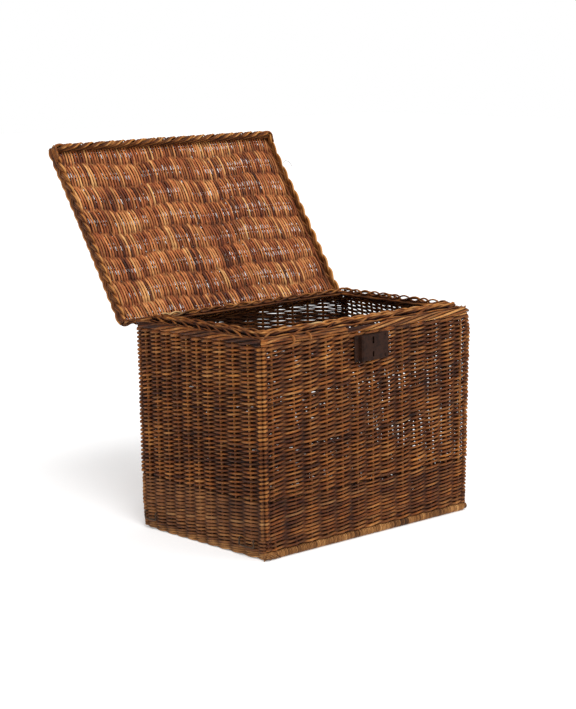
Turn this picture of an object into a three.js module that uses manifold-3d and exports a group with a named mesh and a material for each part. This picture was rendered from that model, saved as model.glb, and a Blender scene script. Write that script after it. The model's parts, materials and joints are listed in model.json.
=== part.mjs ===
// A wicker storage trunk of woven willow, standing open: a body with four woven walls on a woven base,
// a raised inner ledge round its mouth, a tray lid on two hinge ties, and an iron box lock on the front.
// Millimetres, +Z up, +X along the front to the right, +Y to the back, origin at the centre of the base.
import * as THREE from "three";
import { mergeVertices } from "three/addons/utils/BufferGeometryUtils.js";
import Module from "manifold-3d";

const wasm = await Module();
wasm.setup();

// Driving dimensions.
const WIDTH = 640;
const DEPTH = 436;
const HEIGHT = 488;
const WALL = 14;
const GAP = 0.3;
const HALF_W = WIDTH / 2;
const HALF_D = DEPTH / 2;

// Base: two thick outer sticks along the front and back edges, six thinner ones between them.
const OUTER_STICK = 20;
const INNER_STICK = 9;
const INNER_STICKS = 6;
const BASE_THICK = 16;
const END_BORDER_HEIGHT = 14;

// Walls: a close lower band, an open upper weave, upright stakes, and the border the stakes turn into.
const LOWER_BAND_TOP = 128;
const STAKE = 7;
const POST = 15.4;
const POST_ROOM = 16;
const BORDER_HEIGHT = 18;
const BORDER_THICK = 15;
const BORDER_CHAMFER = 4;
const LONG_STAKES = { first: -227, last: 246, count: 11 };
const CORNER_STAKE_INSET = 32.5;
const END_STAKES = { back: 182, step: 35.3, spread: 2.1, even: 5, count: 10 };

// Ledge: a short sloping weave from the border up to a plaited inner border. Inset from the wall, height.
const LEDGE_TOP = HEIGHT + 14.5;
const LEDGE_INNER = 50;
const LEDGE_OUTER = BORDER_THICK + 0.4;

// Lid: a shallow tray that turns about the bottom strand of its back border.
const LID_WIDTH = 686;
const LID_DEPTH = 474;
const LID_SHIFT = -1.5;
const LID_RIM_THICK = 10;
const LID_RIM_HEIGHT = 34.5;
const LID_PANEL_BOTTOM = 18;
const LID_PANEL_THICK = 14;
const LID_STICK = 6;
const LID_STICKS = 8;
const LID_STICK_INSET = 21;
const HINGE_STRAND = 4.6;
const HINGE_EDGE = 2.5;
const HINGE_Y = 234.1;
const HINGE_Z = HEIGHT - 2.8;
const LID_OPEN_DEG = 123.5;

// Hinge ties: flat loops of cane round the body's back border and the lid's hinge strand.
const TIE_X = 212;
const TIE_WIDTH = 9;
const TIE_THICK = 2.4;
const TIE_SLOT_HEIGHT = 7.8;
const LASHING_WIDTH = 7;
const LASHING_THICK = 1.4;
const LASHING_X = -21.5;

// Lock: a flanged back plate, a box case over it, a sliding bolt behind the hasp slot, and a key pin.
const LOCK_Z = HEIGHT - 53;
const LOCK_WIDTH = 106;
const LOCK_HEIGHT = 61;
const PLATE_ROUND = 5;
const CASE_X = -6;
const CASE_WIDTH = 66;
const CASE_HEIGHT = 58;
const CASE_DEPTH = 11.5;
const CASE_WALL = 1.6;
const CASE_BEVEL = 3.5;
const FLANGE = 2;
const RIVET = 3;
const RIVET_HEAD = 7.5;
const RIVET_INSET = 7;
const HASP_SLOT = { width: 5.5, height: 15.5, z: 17 };
const KEYHOLE = { radius: 3.2, slotWidth: 4.6, drop: 9, z: -11.5 };
const BOLT = { length: 26, height: 7, thick: 3 };
const BOLT_SHIFT = 5;

// Wire staples: U-shaped loops of wire in the ends' lower bands.
const WIRE = 2;
const STAPLE = { bottom: 22, top: 39, inset: 9 };
const STAPLES = [{ name: "front", y: -158, width: 48 }, { name: "back", y: 178, width: 38 }];
const SIDES = 8;
const ROUND_SIDES = 16;

const WILLOW = { weave: 0x8a4f28, lower: 0x8c6040, stick: 0x6b3d20, border: 0xa06a38, base: 0x9a7048 };
const IRON = 0x3a2a22;
const STEEL_WIRE = 0x4a4640;

// Solids: three.js geometry turned into manifold solids, so that pieces can be joined and cut.
function solid(geometry) {
  const bare = geometry.index ? geometry.toNonIndexed() : geometry.clone();
  bare.deleteAttribute("normal");
  bare.deleteAttribute("uv");
  const merged = mergeVertices(bare, 1e-4);
  return new wasm.Manifold(new wasm.Mesh({
    numProp: 3,
    vertProperties: merged.attributes.position.array,
    triVerts: new Uint32Array(merged.index.array),
  }));
}

function block(x0, x1, y0, y1, z0, z1) {
  const shape = new THREE.BoxGeometry(x1 - x0, y1 - y0, z1 - z0);
  return solid(shape.translate((x0 + x1) / 2, (y0 + y1) / 2, (z0 + z1) / 2));
}

// A round rod along an axis, with flat facets facing the other two axes so that it rests on a facet.
function rod(axis, diameter, from, to, [a, b], sides = SIDES) {
  const radius = diameter / 2 / Math.cos(Math.PI / sides);
  const shape = new THREE.CylinderGeometry(radius, radius, to - from, sides);
  shape.rotateY(Math.PI / sides);
  const middle = (from + to) / 2;
  if (axis === "x") return solid(shape.rotateZ(Math.PI / 2).translate(middle, a, b));
  if (axis === "y") return solid(shape.translate(a, middle, b));
  return solid(shape.rotateX(Math.PI / 2).translate(a, b, middle));
}

// An outline of [y, z] points swept along X.
function sweepX(points, x0, x1) {
  const shape = new THREE.Shape(points.map(([y, z]) => new THREE.Vector2(y, z)));
  const swept = new THREE.ExtrudeGeometry(shape, { depth: x1 - x0, bevelEnabled: false });
  swept.applyMatrix4(new THREE.Matrix4().set(0, 0, 1, x0, 1, 0, 0, 0, 0, 1, 0, 0, 0, 0, 0, 1));
  return solid(swept);
}

// An outline of [x, y] points raised along Z.
function raise(points, z0, z1) {
  const shape = new THREE.Shape(points.map(([x, y]) => new THREE.Vector2(x, y)));
  const raised = new THREE.ExtrudeGeometry(shape, { depth: z1 - z0, bevelEnabled: false });
  return solid(raised.translate(0, 0, z0));
}

function joined(first, ...others) {
  return others.reduce((sum, other) => sum.add(other), first);
}

function cut(body, tools) {
  return tools.reduce((rest, tool) => rest.subtract(tool), body);
}

const trunk = new THREE.Group();

function addPiece(group, name, shape, color, roughness = 0.75, metalness = 0) {
  const { vertProperties, triVerts } = shape.getMesh();
  const geometry = new THREE.BufferGeometry();
  geometry.setAttribute("position", new THREE.BufferAttribute(new Float32Array(vertProperties), 3));
  geometry.setIndex(new THREE.BufferAttribute(new Uint32Array(triVerts), 1));
  geometry.computeVertexNormals();
  const mesh = new THREE.Mesh(geometry, new THREE.MeshStandardMaterial({ color, roughness, metalness }));
  mesh.name = name;
  group.add(mesh);
}

// Stake positions along the long walls and along the ends.
function longStakes() {
  const { first, last, count } = LONG_STAKES;
  const inner = Array.from({ length: count }, (_, i) => first + ((last - first) * i) / (count - 1));
  const corner = HALF_W - CORNER_STAKE_INSET;
  return [-corner, ...inner, corner];
}

function endStakes() {
  const { back, step, spread, even, count } = END_STAKES;
  return Array.from({ length: count }, (_, i) => back - step * i - spread * Math.max(0, i - even) ** 2);
}

// The four sides. A long side lies along X and an end along Y; sign says which of the pair it is.
const SIDES_OF_BODY = [
  { name: "front", long: true, sign: -1 },
  { name: "back", long: true, sign: 1 },
  { name: "left", long: false, sign: -1 },
  { name: "right", long: false, sign: 1 },
];

// A block along one side: span along the side, inset from the outer face, and height.
function sideBlock(side, halfSpan, inset0, inset1, z0, z1) {
  const outer = side.long ? HALF_D : HALF_W;
  const [a, b] = [side.sign * (outer - inset0), side.sign * (outer - inset1)].sort((p, q) => p - q);
  if (side.long) return block(-halfSpan, halfSpan, a, b, z0, z1);
  return block(a, b, -halfSpan, halfSpan, z0, z1);
}

// The plan of one side, mitred at the corners with half a gap on each cut.
function mitre(side, depth) {
  const trim = GAP * 0.75;
  const [half, outer] = side.long ? [HALF_W, HALF_D] : [HALF_D, HALF_W];
  const corners = [[-half + trim, outer], [-half + depth + trim, outer - depth],
    [half - depth - trim, outer - depth], [half - trim, outer]];
  const plan = corners.map(([along, out]) => {
    return side.long ? [along, side.sign * out] : [side.sign * out, along];
  });
  const clockwise = THREE.ShapeUtils.isClockWise(plan.map(([x, y]) => new THREE.Vector2(x, y)));
  return raise(clockwise ? plan.reverse() : plan, 0, 2 * HEIGHT);
}

// An outline of [inset, z] points swept along one side and mitred at both ends.
function sweepSide(side, outline, depth) {
  const [half, outer] = side.long ? [HALF_W, HALF_D] : [HALF_D, HALF_W];
  const points = outline.map(([inset, z]) => [side.sign * (outer - inset), z]);
  const turned = THREE.ShapeUtils.isClockWise(points.map(([y, z]) => new THREE.Vector2(y, z)))
    ? points.reverse() : points;
  const bar = sweepX(turned, -half, half);
  return (side.long ? bar : bar.rotate([0, 0, -90]).mirror([0, 1, 0])).intersect(mitre(side, depth));
}

// Stake positions as [x, y] of one side, at the middle of the wall's thickness.
function stakesOf(side) {
  if (side.long) return longStakes().map((x) => [x, side.sign * (HALF_D - WALL / 2)]);
  return endStakes().map((y) => [side.sign * (HALF_W - WALL / 2), y]);
}

function channels(side) {
  return stakesOf(side).map((at) => rod("z", STAKE + 2 * GAP, 0, HEIGHT, at));
}

// Base.
function addBase() {
  const stickY = HALF_D - OUTER_STICK / 2;
  const pitch = (2 * stickY) / (INNER_STICKS + 1);
  const innerY = Array.from({ length: INNER_STICKS }, (_, i) => -stickY + pitch * (i + 1));
  const plateX = HALF_W - WALL - GAP;
  const plateY = HALF_D - OUTER_STICK - 0.5;
  const plate = block(-plateX, plateX, -plateY, plateY, 0, BASE_THICK);
  const middle = BASE_THICK / 2;
  const tunnels = innerY.map((y) => rod("x", INNER_STICK + 2 * GAP, -HALF_W, HALF_W, [y, middle]));
  addPiece(trunk, "base_weave", cut(plate, tunnels), WILLOW.base);
  innerY.forEach((y, i) => {
    const stick = rod("x", INNER_STICK, -plateX + 1, plateX - 1, [y, middle]);
    addPiece(trunk, `base_stick_${i + 1}`, stick, WILLOW.stick);
  });
  for (const [name, sign] of [["front", -1], ["back", 1]]) {
    const stick = rod("x", OUTER_STICK, -HALF_W, HALF_W, [sign * stickY, OUTER_STICK / 2], ROUND_SIDES);
    addPiece(trunk, `base_stick_${name}`, stick, WILLOW.base);
  }
  for (const side of SIDES_OF_BODY.filter((each) => !each.long)) {
    const border = sideBlock(side, plateY, 0, WALL, 0, END_BORDER_HEIGHT);
    addPiece(trunk, `base_border_${side.name}`, border, WILLOW.base);
  }
}

function addCornerPosts() {
  for (const [frontBack, sy] of [["front", -1], ["back", 1]]) {
    for (const [leftRight, sx] of [["left", -1], ["right", 1]]) {
      const at = [sx * (HALF_W - POST_ROOM / 2), sy * (HALF_D - POST_ROOM / 2)];
      const post = rod("z", POST, OUTER_STICK + GAP, HEIGHT - BORDER_HEIGHT - GAP, at, ROUND_SIDES);
      addPiece(trunk, `corner_post_${frontBack}_${leftRight}`, post, WILLOW.border);
    }
  }
}

// The space of the two outer base sticks, with room round them.
function stickRoom(room) {
  return [-1, 1].map((sign) => {
    const [y0, y1] = [sign * HALF_D, sign * (HALF_D - OUTER_STICK - room)].sort((a, b) => a - b);
    return block(-HALF_W - 1, HALF_W + 1, y0, y1, 0, OUTER_STICK + room);
  });
}

// Walls: both bands of weave with their stake channels, and the stakes with the border they form.
function addWalls() {
  for (const side of SIDES_OF_BODY) {
    const halfSpan = (side.long ? HALF_W : HALF_D) - POST_ROOM - GAP;
    const foot = (side.long ? OUTER_STICK : END_BORDER_HEIGHT) + GAP;
    const borderFoot = HEIGHT - BORDER_HEIGHT;
    const lower = sideBlock(side, halfSpan, 0, WALL, foot, LOWER_BAND_TOP - GAP);
    const upper = sideBlock(side, halfSpan, 0, WALL, LOWER_BAND_TOP, borderFoot - GAP);
    const endCuts = side.long ? [] : [...stapleHoles(side), ...stickRoom(GAP)];
    const fittings = { front: rivetHoles(), back: tieNotches(), left: [], right: [] }[side.name];
    addPiece(trunk, `${side.name}_lower_band`, cut(lower, [...channels(side), ...endCuts]), WILLOW.lower);
    const weave = cut(upper, [...channels(side), ...fittings]);
    addPiece(trunk, `${side.name}_upper_weave`, weave, WILLOW.weave);

    const c = BORDER_CHAMFER;
    const border = sweepSide(side, [[0, borderFoot + c], [0, HEIGHT - c], [c, HEIGHT],
      [BORDER_THICK - c, HEIGHT], [BORDER_THICK, HEIGHT - c], [BORDER_THICK, borderFoot + c],
      [BORDER_THICK - c, borderFoot], [c, borderFoot]], BORDER_THICK + 1);
    const stakes = stakesOf(side).map((at) => rod("z", STAKE, foot + GAP, borderFoot + 2, at));
    addPiece(trunk, `${side.name}_stakes`, joined(border, ...stakes), WILLOW.border);
  }
}

function addLedges() {
  for (const side of SIDES_OF_BODY) {
    const outline = [[LEDGE_OUTER, HEIGHT - 14], [LEDGE_OUTER, HEIGHT - 4], [33, HEIGHT + 12],
      [37, LEDGE_TOP], [46, LEDGE_TOP], [LEDGE_INNER, LEDGE_TOP - 4], [LEDGE_INNER, HEIGHT + 4],
      [46, HEIGHT + 0.5], [36, HEIGHT + 0.5], [22, HEIGHT - 14]];
    const ledge = sweepSide(side, outline, LEDGE_INNER + 1);
    const notches = side.name === "back" ? tieNotches() : [];
    addPiece(trunk, `${side.name}_ledge`, cut(ledge, notches), WILLOW.border);
  }
}

// Hinge ties. The loop's inside is the hull of the back border's section and the lid's hinge strand.
function tieOutline(grow) {
  const [y0, y1] = [HALF_D - BORDER_THICK - grow, HALF_D + grow];
  const [z0, z1] = [HEIGHT - BORDER_HEIGHT - grow, HEIGHT + grow];
  const radius = HINGE_STRAND / 2 + 0.1 + grow;
  const steps = [-52, -30, -8, 14, 36, 58, 80, 97];
  const nose = steps.map((deg) => {
    const angle = THREE.MathUtils.degToRad(deg);
    return [HINGE_Y + radius * Math.cos(angle), HINGE_Z + radius * Math.sin(angle)];
  });
  return [[y0, z1], [y0, z0], [y1, z0], ...nose];
}

const tiePlaces = [["left", -TIE_X], ["right", TIE_X]];

function addHingeTies() {
  for (const [name, x] of tiePlaces) {
    const [x0, x1] = [x - TIE_WIDTH / 2, x + TIE_WIDTH / 2];
    const inside = sweepX(tieOutline(GAP), x0 - 1, x1 + 1);
    const loop = sweepX(tieOutline(GAP + TIE_THICK), x0, x1).subtract(inside);
    addPiece(trunk, `hinge_tie_${name}`, loop, WILLOW.border);
  }
}

// Room for the ties in the back wall's weave and in the back ledge.
function tieNotches() {
  const reach = TIE_WIDTH / 2 + GAP;
  return tiePlaces.map(([, x]) => sweepX(tieOutline(2 * GAP + TIE_THICK), x - reach, x + reach));
}

// Lid, in its own frame: origin on the hinge line, closed, with its free edge towards -Y.
function addLid() {
  const lid = new THREE.Group();
  lid.position.set(LID_SHIFT, HINGE_Y, HINGE_Z);
  lid.rotation.x = THREE.MathUtils.degToRad(-LID_OPEN_DEG);
  trunk.add(lid);

  const [x0, x1] = [-LID_WIDTH / 2, LID_WIDTH / 2];
  const [y0, y1] = [HINGE_EDGE - LID_DEPTH, HINGE_EDGE];
  const [z0, z1] = [-HINGE_EDGE, LID_RIM_HEIGHT - HINGE_EDGE];
  const t = LID_RIM_THICK;
  const panelX = x1 - t - GAP;
  const [panelY0, panelY1] = [y0 + t + GAP, y1 - t - GAP];
  const stickZ = LID_PANEL_BOTTOM + LID_PANEL_THICK / 2;
  const pitch = (LID_DEPTH - 2 * LID_STICK_INSET) / (LID_STICKS - 1);
  const stickY = Array.from({ length: LID_STICKS }, (_, i) => y0 + LID_STICK_INSET + pitch * i);

  const lashX = LASHING_X;
  const lashRoom = block(lashX - LASHING_WIDTH / 2 - GAP, lashX + LASHING_WIDTH / 2 + GAP,
    y0, panelY0 + LASHING_THICK + GAP, z0, HEIGHT);
  const panel = block(-panelX, panelX, panelY0, panelY1,
    LID_PANEL_BOTTOM, LID_PANEL_BOTTOM + LID_PANEL_THICK);
  const tunnels = stickY.map((y) => rod("x", LID_STICK + 2 * GAP, x0, x1, [y, stickZ]));
  addPiece(lid, "lid_weave", cut(panel, [...tunnels, lashRoom]), WILLOW.weave);
  stickY.forEach((y, i) => {
    const stick = rod("x", LID_STICK, -panelX + 1, panelX - 1, [y, stickZ]);
    addPiece(lid, `lid_stick_${i + 1}`, stick, WILLOW.stick);
  });

  addPiece(lid, "lid_border_front", block(x0, x1, y0, y0 + t, z0, z1), WILLOW.border);
  addPiece(lid, "lid_border_left", block(x0, x0 + t, y0 + t + GAP, y1 - t - GAP, z0, z1), WILLOW.border);
  addPiece(lid, "lid_border_right", block(x1 - t, x1, y0 + t + GAP, y1 - t - GAP, z0, z1), WILLOW.border);
  addPiece(lid, "lid_border_back", hingeBorder(block(x0, x1, y1 - t, y1, z0, z1)), WILLOW.border);

  const w = LASHING_THICK;
  const ring = block(lashX - LASHING_WIDTH / 2, lashX + LASHING_WIDTH / 2,
    y0 - GAP - w, y0 + t + GAP + w, z0 - GAP - w, z1 + GAP + w);
  const hole = block(lashX - LASHING_WIDTH, lashX + LASHING_WIDTH,
    y0 - GAP, y0 + t + GAP, z0 - GAP, z1 + GAP);
  addPiece(lid, "hasp_lashing", ring.subtract(hole), WILLOW.border);
}

// The lid's back border, opened round each tie so that only its round bottom strand runs through the loop.
function hingeBorder(bar) {
  const reach = TIE_WIDTH / 2 + 1.5;
  const middles = tiePlaces.map(([, x]) => x - LID_SHIFT);
  const slots = middles.map((x) => block(x - reach, x + reach, -HALF_D, HALF_D, -HALF_D, TIE_SLOT_HEIGHT));
  const strands = middles.map((x) => rod("x", HINGE_STRAND, x - reach - 1, x + reach + 1, [0, 0],
    ROUND_SIDES));
  return joined(cut(bar, slots), ...strands);
}

// Lock, on the front wall's outer face.
const flangeBack = -HALF_D - GAP;
const flangeFront = flangeBack - FLANGE;
const caseBack = flangeFront - GAP;

function rivetPlaces() {
  const [dx, dz] = [LOCK_WIDTH / 2 - RIVET_INSET, LOCK_HEIGHT / 2 - RIVET_INSET];
  return [[-dx, LOCK_Z - dz], [dx, LOCK_Z - dz], [-dx, LOCK_Z + dz], [dx, LOCK_Z + dz]];
}

function rivetHoles() {
  return rivetPlaces().map(([x, z]) => rod("y", RIVET + 2 * GAP, -HALF_D - 5, -HALF_D + WALL + 5, [x, z]));
}

// A block on the front whose outer edges are bevelled, centred off the middle of the lock.
function bevelledCase(halfW, halfH, back, front, bevel) {
  const [x0, x1] = [CASE_X - halfW, CASE_X + halfW];
  const plan = [[x0, back], [x0, front + bevel], [x0 + bevel, front], [x1 - bevel, front],
    [x1, front + bevel], [x1, back]];
  const side = [[back, LOCK_Z - halfH], [back, LOCK_Z + halfH], [front + bevel, LOCK_Z + halfH],
    [front, LOCK_Z + halfH - bevel], [front, LOCK_Z - halfH + bevel], [front + bevel, LOCK_Z - halfH]];
  return raise(plan, LOCK_Z - halfH, LOCK_Z + halfH).intersect(sweepX(side, x0, x1));
}

// The back plate, with rounded corners.
function roundedPlate() {
  const [halfW, halfH, r] = [LOCK_WIDTH / 2, LOCK_HEIGHT / 2, PLATE_ROUND];
  const corners = [[-1, -1], [1, -1], [-1, 1], [1, 1]].map(([sx, sz]) => {
    const at = [sx * (halfW - r), LOCK_Z + sz * (halfH - r)];
    return rod("y", 2 * r, flangeFront, flangeBack, at, ROUND_SIDES);
  });
  const wide = block(-halfW, halfW, flangeFront, flangeBack, LOCK_Z - halfH + r, LOCK_Z + halfH - r);
  const tall = block(-halfW + r, halfW - r, flangeFront, flangeBack, LOCK_Z - halfH, LOCK_Z + halfH);
  return joined(wide, tall, ...corners);
}

function addLock() {
  addPiece(trunk, "lock_plate", cut(roundedPlate(), rivetHoles()), IRON, 0.6, 0.8);

  const front = caseBack - CASE_DEPTH;
  const [caseW, caseH] = [CASE_WIDTH / 2, CASE_HEIGHT / 2];
  const outside = bevelledCase(caseW, caseH, caseBack, front, CASE_BEVEL);
  const inside = bevelledCase(caseW - CASE_WALL, caseH - CASE_WALL, caseBack + 1, front + CASE_WALL,
    CASE_BEVEL);
  const [slotZ, keyZ] = [LOCK_Z + HASP_SLOT.z, LOCK_Z + KEYHOLE.z];
  const slot = block(CASE_X - HASP_SLOT.width / 2, CASE_X + HASP_SLOT.width / 2, front - 1,
    front + CASE_WALL + 1, slotZ - HASP_SLOT.height / 2, slotZ + HASP_SLOT.height / 2);
  const keyhole = joined(
    rod("y", KEYHOLE.radius * 2, front - 1, front + CASE_WALL + 1, [CASE_X, keyZ], ROUND_SIDES),
    block(CASE_X - KEYHOLE.slotWidth / 2, CASE_X + KEYHOLE.slotWidth / 2, front - 1,
      front + CASE_WALL + 1, keyZ - KEYHOLE.drop, keyZ),
  );
  addPiece(trunk, "lock_case", cut(outside, [inside, slot, keyhole]), IRON, 0.6, 0.8);

  const [boltX, boltFront] = [CASE_X + BOLT_SHIFT, front + CASE_WALL + CASE_BEVEL];
  const bolt = block(boltX - BOLT.length / 2, boltX + BOLT.length / 2, boltFront, boltFront + BOLT.thick,
    slotZ - BOLT.height / 2, slotZ + BOLT.height / 2);
  addPiece(trunk, "lock_bolt", bolt, IRON, 0.5, 0.9);
  addPiece(trunk, "lock_key_pin", rod("y", 2.6, front + 2, caseBack, [CASE_X, keyZ]), IRON, 0.5, 0.9);
  rivetPlaces().forEach(([x, z], i) => {
    addPiece(trunk, `lock_rivet_${i + 1}`, rivet(x, z), IRON, 0.6, 0.8);
  });
}

// A domed head on the flange with a shank through the flange and the wall.
function rivet(x, z) {
  const [shank, head, rise] = [RIVET / 2, RIVET_HEAD / 2, 2];
  const profile = [[0, -WALL], [shank, -WALL], [shank, 0], [head, 0], [head * 0.8, rise * 0.6],
    [head * 0.4, rise * 0.95], [0, rise]];
  const turned = new THREE.LatheGeometry(profile.map(([r, h]) => new THREE.Vector2(r, h)), ROUND_SIDES);
  return solid(turned.rotateX(Math.PI).translate(x, flangeFront - GAP, z));
}

// Wire staples: a run along the wall, two legs up, and tips that turn into the weave.
function stapleTips(side, { y, width }, diameter) {
  const face = HALF_W + GAP + WIRE / 2;
  const [x0, x1] = [HALF_W - STAPLE.inset, face].map((x) => side.sign * x).sort((a, b) => a - b);
  return [y - width / 2, y + width / 2].map((at) => rod("x", diameter, x0, x1, [at, STAPLE.top], 8));
}

function stapleHoles(side) {
  return STAPLES.flatMap((staple) => stapleTips(side, staple, WIRE + 2 * GAP));
}

function addStaples() {
  const half = WIRE / 2;
  for (const side of SIDES_OF_BODY.filter((each) => !each.long)) {
    const x = side.sign * (HALF_W + GAP + half);
    for (const staple of STAPLES) {
      const ends = [staple.y - staple.width / 2, staple.y + staple.width / 2];
      const run = block(x - half, x + half, ends[0] - half, ends[1] + half,
        STAPLE.bottom - half, STAPLE.bottom + half);
      const legs = ends.map((y) => block(x - half, x + half, y - half, y + half,
        STAPLE.bottom, STAPLE.top + half));
      const wire = joined(run, ...legs, ...stapleTips(side, staple, WIRE));
      addPiece(trunk, `wire_staple_${side.name}_${staple.name}`, wire, STEEL_WIRE, 0.5, 0.7);
    }
  }
}

addBase();
addCornerPosts();
addWalls();
addLedges();
addHingeTies();
addLid();
addLock();
addStaples();

export default trunk;
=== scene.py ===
import json
import math
from collections import namedtuple

import bpy
import numpy as np
from mathutils import Matrix, Vector


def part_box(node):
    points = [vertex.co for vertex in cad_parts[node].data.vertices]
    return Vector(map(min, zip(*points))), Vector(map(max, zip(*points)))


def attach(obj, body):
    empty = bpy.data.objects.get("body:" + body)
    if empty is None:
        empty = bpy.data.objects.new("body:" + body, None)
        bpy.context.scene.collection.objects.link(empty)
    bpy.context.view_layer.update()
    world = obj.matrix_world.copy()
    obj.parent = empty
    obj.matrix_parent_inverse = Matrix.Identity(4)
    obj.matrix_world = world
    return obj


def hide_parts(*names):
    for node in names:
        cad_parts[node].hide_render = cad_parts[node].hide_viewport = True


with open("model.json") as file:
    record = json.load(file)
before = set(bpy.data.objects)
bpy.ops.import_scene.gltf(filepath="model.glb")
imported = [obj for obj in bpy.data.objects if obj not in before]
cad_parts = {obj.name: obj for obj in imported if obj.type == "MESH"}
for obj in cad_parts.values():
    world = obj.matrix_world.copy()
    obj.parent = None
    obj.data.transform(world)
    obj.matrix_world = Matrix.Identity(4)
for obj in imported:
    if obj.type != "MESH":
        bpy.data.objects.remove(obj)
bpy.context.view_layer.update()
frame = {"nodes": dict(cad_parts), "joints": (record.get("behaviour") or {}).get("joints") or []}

TAU = 2 * math.pi
X_AXIS, Y_AXIS, Z_AXIS = np.eye(3)


def box_mm(node):
    """A node's lowest and highest corners."""
    low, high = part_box(node)
    return np.array(low) * 1000, np.array(high) * 1000


def centre_mm(node):
    return sum(box_mm(node)) / 2


def mesh_mm(node):
    """Every vertex of a node's CAD mesh."""
    vertices = frame["nodes"][node].data.vertices
    points = np.empty(len(vertices) * 3)
    vertices.foreach_get("co", points)
    return points.reshape(-1, 3) * 1000


# Measures read from the frame.
HALF_W = box_mm("right_upper_weave")[1][0]
HALF_D = box_mm("back_upper_weave")[1][1]
WALL = HALF_D - box_mm("back_upper_weave")[0][1]
MIDDLE = WALL / 2
BAND_TOP = box_mm("front_lower_band")[1][2]
WEAVE_TOP = box_mm("front_upper_weave")[1][2]
BORDER_TOP = box_mm("front_stakes")[1][2]
STICK_TOP = box_mm("base_stick_front")[1][2]
FOOT_TOP = box_mm("base_border_left")[1][2]
LEDGE_TOP = box_mm("front_ledge")[1][2]
LEDGE_INSET = HALF_D + box_mm("front_ledge")[1][1]
CORNER = 8.0  # radius that the weave's middle takes round a corner post

# ---- camera
AZIMUTH, ELEVATION, ROLL = -42.08, 9.79, -0.88  # degrees
AIM = Vector((0, 0, 0.248))
DISTANCE, SHIFT_RIGHT, SHIFT_UP = 4.54185, -0.04207, 0.14078  # metres
LENS, SENSOR = 98.69, 36


def make_camera():
    azimuth, elevation, roll = map(math.radians, (AZIMUTH, ELEVATION, ROLL))
    level = math.cos(elevation)
    back = Vector((math.sin(azimuth) * level, -math.cos(azimuth) * level, math.sin(elevation)))
    right = (-back).cross(Vector((0, 0, 1))).normalized()
    up = right.cross(-back)
    cos, sin = math.cos(roll), math.sin(roll)
    right, up = cos * right + sin * up, cos * up - sin * right
    place = AIM + back * DISTANCE + right * SHIFT_RIGHT + up * SHIFT_UP
    data = bpy.data.cameras.new("camera")
    data.lens, data.sensor_width, data.clip_start, data.clip_end = LENS, SENSOR, 0.1, 60
    camera = bpy.data.objects.new("camera", data)
    camera.matrix_world = Matrix((*zip(right, up, back, place), (0, 0, 0, 1)))
    bpy.context.scene.collection.objects.link(camera)
    bpy.context.scene.camera = camera


# ---- chance and small maths
def chance(*keys):
    """A random source that gives the same draws each run for the same keys."""
    return np.random.default_rng([k + 100000 for k in keys])


def wave(t, keys, length, size=1.0):
    """A smooth random curve along t, about `size` high, changing over about `length`."""
    rng = chance(*keys)
    total = np.zeros_like(t, dtype=float)
    for part in range(3):
        phase, stretch = rng.uniform(0, TAU), rng.uniform(0.7, 1.4) * (1 + part * 0.8)
        total = total + np.sin(t * TAU * stretch / (2 * length) + phase) / (1 + part * 0.6)
    return total * size * 0.55


def bump(x, at, width, power=2):
    """1 at the given place, falling to 0 about a width away; a higher power has a flatter top."""
    return np.exp(-((x - at) / width) ** power)


def peak(c):
    """A cosine with rounder crests, as a stiff rod takes over a stake."""
    return c * (1.22 - 0.22 * c * c)


def sway(points):
    """How far the whole weave strays from true at each point: up, and outward."""
    x, y, z = points[..., 0], points[..., 1], points[..., 2]
    lift = (np.sin(x / 83 + y / 61 + z / 140 + 0.6) + 0.7 * np.sin(x / 37 - y / 43 + z / 90 + 2.2)
            + 0.45 * np.sin(x / 19 + y / 23 - z / 33 + 4.0))
    push = np.sin(x / 120 + 1.0) * np.sin(y / 95 + 0.3) + 0.5 * np.sin(z / 75 + x / 140 + y / 110)
    return lift * 1.25, push * 0.9


def settle(points):
    """The weave keeps true near the base and the border, and strays most between them."""
    z = points[:, 2]
    return np.clip((z - 24) / 70, 0.15, 1) * np.clip((WEAVE_TOP + 4 - z) / 40, 0.15, 1)


def patch(points):
    """Slow change of colour over the whole basket, about -1 to 1."""
    x, y, z = points[..., 0], points[..., 1], points[..., 2]
    broad = np.sin(x / 70 + y / 95 + 1.3) * np.sin(z / 58 + x / 190)
    return -0.5 * (broad + np.sin(x / 160 - z / 75 + y / 120 + 0.4))


RIGHT_LEAN, LEFT_LEAN, LEDGE_LEAN, CORNER_LEAN = 18, 6.5, 14, 2


def flare(points):
    """How far the body leans out of true: towards its right end, its left end, and its back left corner."""
    x, y, z = points[:, 0] / HALF_W, points[:, 1] / HALF_D, points[:, 2]
    to_right, to_left = np.clip(x, 0, 1.1), np.clip(-x, 0, 1.1)
    rise, start = np.clip(z / 440, 0, 1.1), np.clip(0.4 + z / 100, 0, 1)
    hem = 1 - 0.45 * np.clip((z - 440) / 40, 0, 1)
    over_border = np.clip((z - BORDER_TOP + 1) / 10, 0, 1)
    move = np.zeros_like(points)
    move[:, 0] = RIGHT_LEAN * rise * hem * to_right ** 2 - (LEFT_LEAN + 1.5 * rise) * start * to_left ** 2
    move[:, 0] += LEDGE_LEAN * over_border * np.clip(x, 0, 1) ** 2
    move[:, 1] = (CORNER_LEAN + 4 * rise) * start * np.clip(-x, 0, 1) ** 4 * np.clip(y, 0, 1) ** 2
    return move


def smooth(points, per=6):
    """Points on a smooth curve through the given ones."""
    p = np.asarray(points, float)
    p = np.vstack([2 * p[0] - p[1], p, 2 * p[-1] - p[-2]])
    t = np.linspace(0, 1, per, endpoint=False)[:, None]
    runs = []
    for a, b, c, d in zip(p, p[1:], p[2:], p[3:]):
        bend = (2 * a - 5 * b + 4 * c - d) * t ** 2 + (3 * b - a - 3 * c + d) * t ** 3
        runs.append(0.5 * (2 * b + (c - a) * t + bend))
    return np.vstack([*runs, p[-2:-1]])


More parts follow.
